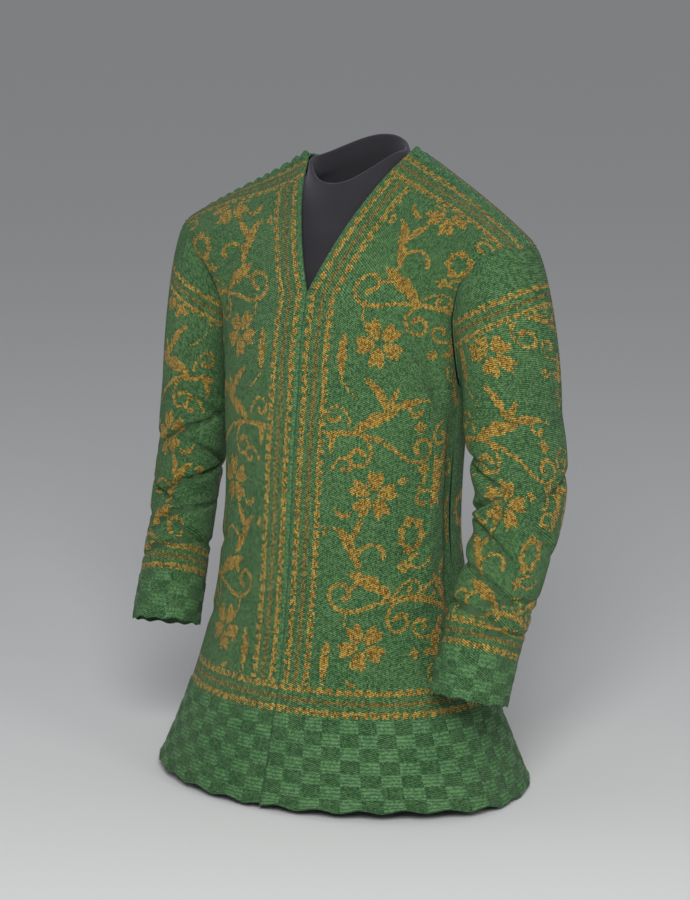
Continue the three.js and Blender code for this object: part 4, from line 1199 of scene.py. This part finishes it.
half_gap = SEAM_GAP / 2
SIDE_SEAM = slice(0, BLOCK_ROWS * ROWS_PER_BLOCK + PLAIN_ROWS + 1)
front_stitches = BLOCKS_PER_FRONT * STITCHES_PER_BLOCK
for side_name, is_right, first_block in (("left", False, 0), ("right", True, 1)):
    front_edge, side_seam = ("end", "start_seam") if is_right else ("start", "end_seam")
    panel, area = body_panel(
        "front_panel_" + side_name, front_turns, front_stitches, front_rise, first_block,
        gap=(half_gap, -half_gap, 0.0), folds=front_folds[side_name], chart_maker=front_chart,
        mirrored=is_right, sewn=(False, True), armholes=[(-1, False)], on_front=True,
        edges={"hem": None, front_edge: None, side_seam: SIDE_SEAM},
    )
    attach(panel, "root")
    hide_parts("front_" + side_name)

neck_start = round((1 - NECK_SHARE) * front_stitches)
neck_end = round((1 + NECK_SHARE) * front_stitches)
NECK_SPAN = slice(neck_start, neck_end + 1)
back_panel, area = body_panel(
    "back_panel", back_turns, 2 * front_stitches, back_rise, BLOCKS_PER_FRONT,
    gap=(0.0, half_gap, 0.0), folds=back_folds, chart_maker=back_chart,
    mirrored=False, sewn=(True, True), armholes=[(0, False), (-1, True)], on_front=False,
    edges={"hem": None, "top": NECK_SPAN},
)
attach(back_panel, "root")
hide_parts("back")

# ---------------------------------------------------------------------------------------------
# Sleeves. Each is one tube of the same knit with its block-knit cuff, eased into the armhole and
# sewn there; they hang forward a little from the elbow, and no arm fills them.
SLEEVE_STITCHES = 144
CAP_ROWS = 84
ARM_ROWS = 118
CUFF_ROWS = 24
CUFF_HEIGHT = 44.0
CUFF_BLOCKS = 12
CUFF_BLOCK_ROWS = 4
CUFF_RELIEF = 1.0
CUFF_WAVE = 2.2
UPPER_ARM_Z = 400.0
CAP_FULLNESS = 0.75
HANG = np.array([0.03, -0.02, -1.0])
SLEEVE_GAP = 0.45
SECTION_TURN = math.radians(50)

sleeve_sizes = columns(
    "z left right y long short",
    (120, 187, 187, -68, 40, 37.5),
    (160, 190, 190.5, -57, 41, 36),
    (195, 192, 193.5, -42, 42.5, 35.5),
    (235, 196, 198, -24, 44, 35.5),
    (277, 201.5, 202, -7, 46, 36),
    (318, 203, 201, 3, 49.5, 37),
    (360, 199.5, 197, 7, 51.5, 39.5),
    (400, 191.5, 190.5, 8, 52, 42),
)
# longest: the longest line down the sleeve as it was cut, in metres, to within a centimetre.
sleeve_sides = {
    "left": {"sign": 1, "cuff_z": 124.0, "longest": 0.50},
    "right": {"sign": -1, "cuff_z": 152.0, "longest": 0.47},
}
# down: share from upper arm to cuff; turn: 0 inner side, 90 front, 180 outer, 270 back.
FOLD_COLUMNS = "down turn depth high broad slant"
sleeve_folds = {
    "left": columns(
        FOLD_COLUMNS,
        (0.26, 20, 3.5, 0.045, 55, 0.0006),
        (0.42, 60, 4.5, 0.04, 60, -0.0009),
        (0.56, 35, 4.0, 0.035, 50, 0.0008),
        (0.68, 110, 3.5, 0.035, 60, 0.001),
        (0.8, 70, 4.0, 0.03, 65, -0.0007),
        (0.5, 250, 3.0, 0.05, 50, 0.0006),
    ),
    "right": columns(
        FOLD_COLUMNS,
        (0.12, 60, 3.5, 0.05, 50, 0.0009),
        (0.33, 80, 4.5, 0.045, 60, -0.0008),
        (0.5, 60, 4.0, 0.04, 60, 0.0009),
        (0.64, 100, 4.0, 0.035, 55, -0.0006),
        (0.78, 60, 3.5, 0.035, 60, 0.0007),
        (0.45, 250, 3.0, 0.05, 50, -0.0006),
    ),
}
WRINKLE_GAIN = 3.4
# Finer wrinkles between them: slanting at the elbow, pressed together above the cuff.
sleeve_wrinkles = {
    "left": columns(
        FOLD_COLUMNS,
        (0.10, 34, 2.2, 0.026, 42, 0.0016),
        (0.19, 62, 2.6, 0.020, 46, 0.0019),
        (0.34, 42, 3.0, 0.020, 50, -0.0012),
        (0.47, 92, 2.6, 0.018, 56, 0.0015),
        (0.615, 104, 2.8, 0.017, 60, 0.0008),
        (0.66, 138, 2.6, 0.013, 58, -0.0007),
        (0.715, 88, 3.0, 0.014, 76, 0.0004),
        (0.765, 150, 2.2, 0.012, 54, -0.0005),
        (0.24, 196, 1.8, 0.024, 44, -0.0015),
        (0.40, 172, 1.8, 0.020, 38, 0.0013),
        (0.33, 300, 2.4, 0.022, 50, 0.0012),
        (0.58, 286, 2.6, 0.018, 58, -0.0009),
        (0.70, 270, 2.2, 0.015, 50, 0.0007),
    ),
    "right": columns(
        FOLD_COLUMNS,
        (0.05, 40, 2.4, 0.024, 44, -0.0016),
        (0.17, 74, 2.8, 0.021, 48, 0.0018),
        (0.26, 30, 2.4, 0.018, 42, -0.0014),
        (0.41, 52, 3.2, 0.020, 54, 0.0016),
        (0.49, 104, 2.4, 0.016, 46, -0.0012),
        (0.58, 66, 3.0, 0.016, 60, 0.0010),
        (0.655, 40, 2.6, 0.014, 50, -0.0008),
        (0.72, 92, 2.8, 0.014, 70, 0.0005),
        (0.30, 190, 1.8, 0.022, 44, 0.0014),
        (0.52, 200, 2.0, 0.019, 46, -0.0011),
        (0.38, 296, 2.4, 0.021, 52, -0.0012),
        (0.62, 280, 2.4, 0.017, 56, 0.0009),
    ),
}


def fold_depth(folds, down, degrees, beside=0.0):
    """Depth of the folds; beside raises a soft ridge on both sides of each trough."""
    depth = np.zeros(np.broadcast(down, degrees).shape)
    for fold in rows_of(folds):
        away = degrees - fold["turn"]
        away = away - 360 * np.round(away / 360)
        along = ((down - fold["down"] - fold["slant"] * away) / fold["high"]) ** 2
        depth = depth + fold["depth"] * np.exp(-along - (away / fold["broad"]) ** 2) * (1 - beside * along)
    return depth


def sleeve_point(side, cuff_z, folded, down, share):
    """Outer point of a sleeve below the upper arm, as if it were the left one."""
    height = mix(UPPER_ARM_Z, cuff_z, down)

    def axis(d):
        z = mix(UPPER_ARM_Z, cuff_z, d)
        return three(read(sleeve_sizes, "z", side, z), read(sleeve_sizes, "z", "y", z), z)

    along = unit(axis(np.minimum(down + 0.02, 1.0)) - axis(np.maximum(down - 0.02, 0.0)))
    outward = unit(np.array([1.0, 0.0, 0.0]) - along * along[..., :1])
    backward = np.cross(np.array([0.0, 0.0, 1.0]), outward)
    backward = unit(backward - along * np.sum(backward * along, axis=-1, keepdims=True))
    turn = math.pi + 2 * math.pi * share
    away = turn - SECTION_TURN
    long, short = read(sleeve_sizes, "z", "long", height), read(sleeve_sizes, "z", "short", height)
    radius = long * short / np.hypot(short * np.cos(away), long * np.sin(away))
    if folded:
        radius = radius - fold_depth(sleeve_folds[side], down, share * 360.0)
        radius = radius - WRINKLE_GAIN * fold_depth(sleeve_wrinkles[side], down, share * 360.0, RIDGE_BESIDE)
    reach = radius[..., None]
    turn = turn[..., None]
    return axis(down) + outward * reach * np.cos(turn) + backward * reach * np.sin(turn)


# How strongly the cuff blocks show: it sets their ridges and their painted light and shade.
CUFF_RIDGES_LIGHT_AND_SHADE = 0.7
SLEEVE_BORDER_Z = 536.0
SLEEVE_BORDER_TILT = 0.55
SLEEVE_PATTERN_ROUND = 300.0
SLEEVE_PATTERN_FOLD = 165.0
SLEEVE_FLOWER_UP = 148.0
SLEEVE_SEAM_MARGIN = 2.0


def sleeve_chart(points, soft):
    """The pattern of a sleeve, its grid read from the armhole down: a border that runs level across
    the top of the sleeve, one above the cuff and the scroll between."""
    def wrap(grid, last):
        return np.concatenate([grid, last], axis=1)

    ring = np.linalg.norm(points[:, :1] - points[:, -1:], axis=-1)
    lengths, around = run_lengths(points, 0), run_lengths(points, 1)
    down = wrap(lengths, lengths[:, :1])
    across = wrap(around, around[:, -1:] + ring)
    last_row = len(points) - 1 - CUFF_ROWS
    to_cuff = down[last_row] - down - HEM_BORDER_START
    placed = np.concatenate([points, points[:, :1]], axis=1)
    level = SLEEVE_BORDER_Z + SLEEVE_BORDER_TILT * (placed[..., 0] - TIP_HALF)
    from_top = level - placed[..., 2]
    low, high = middles(to_cuff), middles(from_top)
    choice = np.full(low.shape, -1)
    choice[(high > 0) & (high < BORDER)] = 0
    choice[(low > 0) & (low < BORDER)] = 1
    out = across * SLEEVE_PATTERN_ROUND / across[:, -1:]
    out = np.where(out > SLEEVE_PATTERN_FOLD, 2 * SLEEVE_PATTERN_FOLD - out, out)
    free = (from_top > BORDER + PATTERN_MARGIN) & (to_cuff > BORDER + PATTERN_MARGIN)
    free = free & (out > SLEEVE_SEAM_MARGIN)
    motif = np.where(free, scroll_pattern(out, to_cuff, SLEEVE_FLOWER_UP), FAR_OUTSIDE)
    blocks = middles(wrap(soft, soft[:, :1]))
    block = np.where(low < -HEM_BORDER_START, np.where(blocks > 0, CUFF_RIDGES_LIGHT_AND_SHADE, -CUFF_RIDGES_LIGHT_AND_SHADE), 0.0)
    borders = [(from_top, across), (to_cuff, across)]
    return {"motif": motif, "borders": borders, "choice": choice, "block": block}


for side_name, side in sleeve_sides.items():
    cuff_z = side["cuff_z"]
    shares = np.arange(SLEEVE_STITCHES) / SLEEVE_STITCHES
    starts = armhole_point(shares * ARMHOLE_PLACES)[0] + np.array([SLEEVE_GAP, 0.0, 0.0])
    ends = sleeve_point(side_name, cuff_z, True, np.zeros_like(shares), shares)
    lengths = np.linalg.norm(ends - starts, axis=1, keepdims=True)
    t = (np.arange(CAP_ROWS) / CAP_ROWS)[:, None, None]
    cap = (
        starts * (2 * t**3 - 3 * t**2 + 1)
        + SHOULDER_DROP * (t**3 - 2 * t**2 + t) * lengths * CAP_FULLNESS
        + ends * (3 * t**2 - 2 * t**3)
        + HANG * (t**3 - t**2) * lengths
    )
    cuff_start = 1 - CUFF_HEIGHT / (UPPER_ARM_Z - cuff_z)
    cuff_downs = np.linspace(cuff_start, 1, CUFF_ROWS + 1)[1:]
    downs = np.concatenate([np.linspace(0, cuff_start, ARM_ROWS + 1), cuff_downs])
    down_grid, share_grid = np.meshgrid(downs, shares, indexing="ij")
    calm = 1 - smoothstep(down_grid, cuff_start - 0.03, cuff_start)
    arm = sleeve_point(side_name, cuff_z, True, down_grid, share_grid)
    plain = sleeve_point(side_name, cuff_z, False, down_grid, share_grid)
    arm = mix(plain, arm, calm[..., None])
    # The grid reads from the armhole down until the piece is made, so its normals are turned round.
    points = np.concatenate([cap, arm])
    rows = len(points)
    normals = -grid_normals(points, closed=True)
    into_cuff = np.arange(rows) - (rows - 1 - CUFF_ROWS)
    block_row = np.clip(into_cuff / CUFF_ROWS * CUFF_BLOCK_ROWS, 0, CUFF_BLOCK_ROWS)[:, None]
    block_wave = np.sin(math.pi * CUFF_BLOCKS * shares)[None, :]
    soft = np.tanh(BLOCK_CRISPNESS * block_wave * np.sin(math.pi * block_row))
    offset = CUFF_RELIEF * 0.5 * (soft + 1) * (block_row > 0)
    from_seam = run_lengths(points, 0)
    offset = offset - edge_roll(from_seam, sewn=True)
    points = points + normals * offset[..., None]
    wave = CUFF_WAVE * 0.5 * (1 - np.cos(2 * math.pi * CUFF_BLOCKS * shares))
    points[..., 2] += wave * smoothstep(block_row, CUFF_BLOCK_ROWS - 0.8, CUFF_BLOCK_ROWS)
    normals = -grid_normals(points, closed=True)
    inner_offset = -normals * CLOTH
    inner_offset[0] = armhole_inward(shares * ARMHOLE_PLACES)
    chart = sleeve_chart(np.concatenate([cap, plain]), soft)
    chart = {key: value if key == "borders" else value[::-1] for key, value in chart.items()}
    chart["borders"] = [(inside[::-1], along[::-1]) for inside, along in chart["borders"]]
    points, inner_offset = points[::-1], inner_offset[::-1]
    if side["sign"] < 0:
        points = np.roll(points[:, ::-1], 1, axis=1) * np.array([-1.0, 1.0, 1.0])
        inner_offset = np.roll(inner_offset[:, ::-1], 1, axis=1) * np.array([-1.0, 1.0, 1.0])
        chart = mirrored_chart(chart)
    sleeve = knit_piece(
        "sleeve_tube_" + side_name, points, inner_offset, silk_knit, chart,
        edges={"hem": None, "top_seam": None}, closed=True,
    )
    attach(sleeve, "root")
    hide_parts("sleeve_" + side_name)
    area = 0.5 * sum(face.area for face in sleeve.data.polygons)

# ---------------------------------------------------------------------------------------------
# Shoulder seams. The edges of front and back are oversewn in green silk into a small ridge, which
# ruffles into scallops and lies calmer towards the sleeve.
RIDGE_HALF = 5.4
RIDGE_HEIGHT = 2.4
RIDGE_SCALLOP = 4.2
RIDGE_WAVES = 12
RIDGE_TIP_SHARE = 0.35
RIDGE_CLEARANCE = 0.55
RIDGE_NECK_INSET = 2.0
RIDGE_TIP_INSET = 4.0
RIDGE_STEPS = 144
RIDGE_ROUND = 12
RIDGE_FALL = 0.32


def yarn_material(name):
    """Plain green silk yarn, twisted, for sewn and cast-off edges."""
    yarn = bpy.data.materials.new(name)
    yarn.use_nodes = True
    tree = yarn.node_tree
    skin = tree.nodes["Principled BSDF"]
    skin.inputs["Roughness"].default_value = 0.68
    skin.inputs["Sheen Weight"].default_value = 0.2
    skin.inputs["Sheen Tint"].default_value = SILK_SHEEN
    place = shader(yarn, "ShaderNodeTexCoord")
    strands = shader(yarn, "ShaderNodeTexNoise", Scale=700.0, Detail=3.0)
    tree.links.new(place.outputs["Object"], strands.inputs["Vector"])
    tone = shader(yarn, "ShaderNodeValToRGB")
    tone.color_ramp.elements[0].position, tone.color_ramp.elements[0].color = 0.36, SHADOW_GREEN
    tone.color_ramp.elements[1].position, tone.color_ramp.elements[1].color = 0.7, GREEN_LIGHT
    tone.color_ramp.elements.new(0.52).color = DARK_GREEN_AND_SUNK_SHADE
    tree.links.new(strands.outputs["Fac"], tone.inputs["Fac"])
    tree.links.new(tone.outputs["Color"], skin.inputs["Base Color"])
    relief = shader(yarn, "ShaderNodeBump", Strength=0.6, Distance=0.0006)
    tree.links.new(strands.outputs["Fac"], relief.inputs["Height"])
    tree.links.new(relief.outputs["Normal"], skin.inputs["Normal"])
    return yarn


silk_yarn = yarn_material("silk_yarn")
for side_name, sign in (("left", 1.0), ("right", -1.0)):
    share = np.linspace(0.0, 1.0, RIDGE_STEPS + 1)[:, None]
    x = mix(NECK_HALF + RIDGE_NECK_INSET, TIP_HALF - RIDGE_TIP_INSET, share)
    seam_y = read(shoulder_sizes, "x", "y", x)
    seam_z = read(shoulder_sizes, "x", "z", x) + RIDGE_CLEARANCE
    calm = mix(1.0, RIDGE_TIP_SHARE, share)
    lobe = np.abs(np.sin(math.pi * (RIDGE_WAVES * share + 0.12 * np.sin(17.0 * share))))
    height = RIDGE_HEIGHT * calm + RIDGE_SCALLOP * calm * lobe
    turn = np.linspace(0.0, math.pi, RIDGE_ROUND + 1)[None, :]
    across = RIDGE_HALF * np.cos(turn) * mix(0.8, 1.0, lobe)
    fall = RIDGE_FALL * np.abs(across)
    ridge = three(x + 0 * turn, seam_y + across, seam_z - fall + height * np.sin(turn) ** 1.2)
    sole_y = RIDGE_HALF * 0.5 * np.array([[-1.0, 1.0]])
    sole = three(x + 0 * sole_y, seam_y + sole_y, seam_z - RIDGE_FALL * np.abs(sole_y) - 0.2)
    ring = np.concatenate([ridge, sole], axis=1)
    rows, count = ring.shape[:2]
    points = ring.reshape(-1, 3) * np.array([sign, 1.0, 1.0])
    faces = [
        (r * count + c, r * count + (c + 1) % count, (r + 1) * count + (c + 1) % count, (r + 1) * count + c)
        for r in range(rows - 1) for c in range(count)
    ]
    faces += [tuple(range(count))[::-1], tuple((rows - 1) * count + c for c in range(count))]
    if sign < 0:
        faces = [face[::-1] for face in faces]
    ridge_piece = new_piece("shoulder_ridge_" + side_name, lift_shoulders(points), faces, silk_yarn)
    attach(ridge_piece, "root")
    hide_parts("shoulder_seam_" + side_name)

# ---------------------------------------------------------------------------------------------
# Edge stitches. Every free edge is cast off in the same green silk: a row of small slanting loops
# along the front edges, hem, neck and cuffs. The same loops sew the side seams and the armholes.
LOOP_PITCH = 2.3
LOOP_LONG = 1.7
LOOP_THICK = 0.75
LOOP_SLANT = 0.55
LOOP_SMALLEST = 0.82
LOOP_LARGEST = 1.15
LOOP_SEED = 7


def loop_row_nodes():
    """Small yarn loops set one after another along each line of the object's mesh."""
    group = bpy.data.node_groups.new("loop_row", "GeometryNodeTree")
    face = group.interface
    face.new_socket(name="Geometry", in_out="INPUT", socket_type="NodeSocketGeometry")
    sockets = {
        name: face.new_socket(name=name, in_out="INPUT", socket_type="NodeSocketFloat").identifier
        for name in ("Pitch", "Long", "Thick", "Slant")
    }
    face.new_socket(name="Geometry", in_out="OUTPUT", socket_type="NodeSocketGeometry")
    nodes, link = group.nodes, group.links.new
    source, result = nodes.new("NodeGroupInput"), nodes.new("NodeGroupOutput")
    path = nodes.new("GeometryNodeMeshToCurve")
    even = nodes.new("GeometryNodeResampleCurve")
    even.mode = "LENGTH"
    loop = nodes.new("GeometryNodeMeshUVSphere")
    loop.inputs["Segments"].default_value = 8
    loop.inputs["Rings"].default_value = 5
    loop.inputs["Radius"].default_value = 1.0
    size = nodes.new("ShaderNodeCombineXYZ")
    tangent = nodes.new("GeometryNodeInputTangent")
    aim = nodes.new("FunctionNodeAlignRotationToVector")
    aim.axis = "X"
    tip = nodes.new("FunctionNodeRotateRotation")
    tip.rotation_space = "LOCAL"
    slant = nodes.new("ShaderNodeCombineXYZ")
    spread = nodes.new("FunctionNodeRandomValue")
    spread.inputs[2].default_value = LOOP_SMALLEST
    spread.inputs[3].default_value = LOOP_LARGEST
    spread.inputs["Seed"].default_value = LOOP_SEED
    place = nodes.new("GeometryNodeInstanceOnPoints")
    grow = nodes.new("GeometryNodeScaleInstances")
    solid = nodes.new("GeometryNodeRealizeInstances")
    paint = nodes.new("GeometryNodeSetMaterial")
    paint.inputs["Material"].default_value = silk_yarn
    link(source.outputs["Geometry"], path.inputs["Mesh"])
    link(path.outputs["Curve"], even.inputs["Curve"])
    link(source.outputs["Pitch"], even.inputs["Length"])
    link(even.outputs["Curve"], place.inputs["Points"])
    link(loop.outputs["Mesh"], place.inputs["Instance"])
    link(tangent.outputs["Tangent"], aim.inputs["Vector"])
    link(aim.outputs["Rotation"], tip.inputs["Rotation"])
    link(source.outputs["Slant"], slant.inputs["Z"])
    link(slant.outputs["Vector"], tip.inputs["Rotate By"])
    link(tip.outputs["Rotation"], place.inputs["Rotation"])
    link(source.outputs["Long"], size.inputs["X"])
    link(source.outputs["Thick"], size.inputs["Y"])
    link(source.outputs["Thick"], size.inputs["Z"])
    link(size.outputs["Vector"], place.inputs["Scale"])
    link(place.outputs["Instances"], grow.inputs["Instances"])
    link(spread.outputs[1], grow.inputs["Scale"])
    link(grow.outputs["Instances"], solid.inputs["Geometry"])
    link(solid.outputs["Geometry"], paint.inputs["Geometry"])
    link(paint.outputs["Geometry"], result.inputs["Geometry"])
    return group, sockets


loop_row, loop_sockets = loop_row_nodes()


def edge_stitches(name, line, closed):
    """A row of loops along a line of points in metres."""
    count = len(line)
    edges = [(i, i + 1) for i in range(count - 1)] + ([(count - 1, 0)] if closed else [])
    mesh = bpy.data.meshes.new(name + "_line")
    mesh.from_pydata(line.tolist(), edges, [])
    guide = bpy.data.objects.new(name + "_line", mesh)
    bpy.context.scene.collection.objects.link(guide)
    modifier = guide.modifiers.new("loops", "NODES")
    modifier.node_group = loop_row
    modifier[loop_sockets["Pitch"]] = LOOP_PITCH * MM
    modifier[loop_sockets["Long"]] = LOOP_LONG * MM
    modifier[loop_sockets["Thick"]] = LOOP_THICK * MM
    modifier[loop_sockets["Slant"]] = LOOP_SLANT
    depsgraph = bpy.context.evaluated_depsgraph_get()
    made = bpy.data.meshes.new_from_object(guide.evaluated_get(depsgraph))
    made.name = name
    bpy.data.objects.remove(guide)
    made.polygons.foreach_set("use_smooth", np.ones(len(made.polygons), dtype=bool))
    row = bpy.data.objects.new(name, made)
    bpy.context.scene.collection.objects.link(row)
    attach(row, "root")


for name, line, closed in edge_lines:
    edge_stitches(name, line, closed)
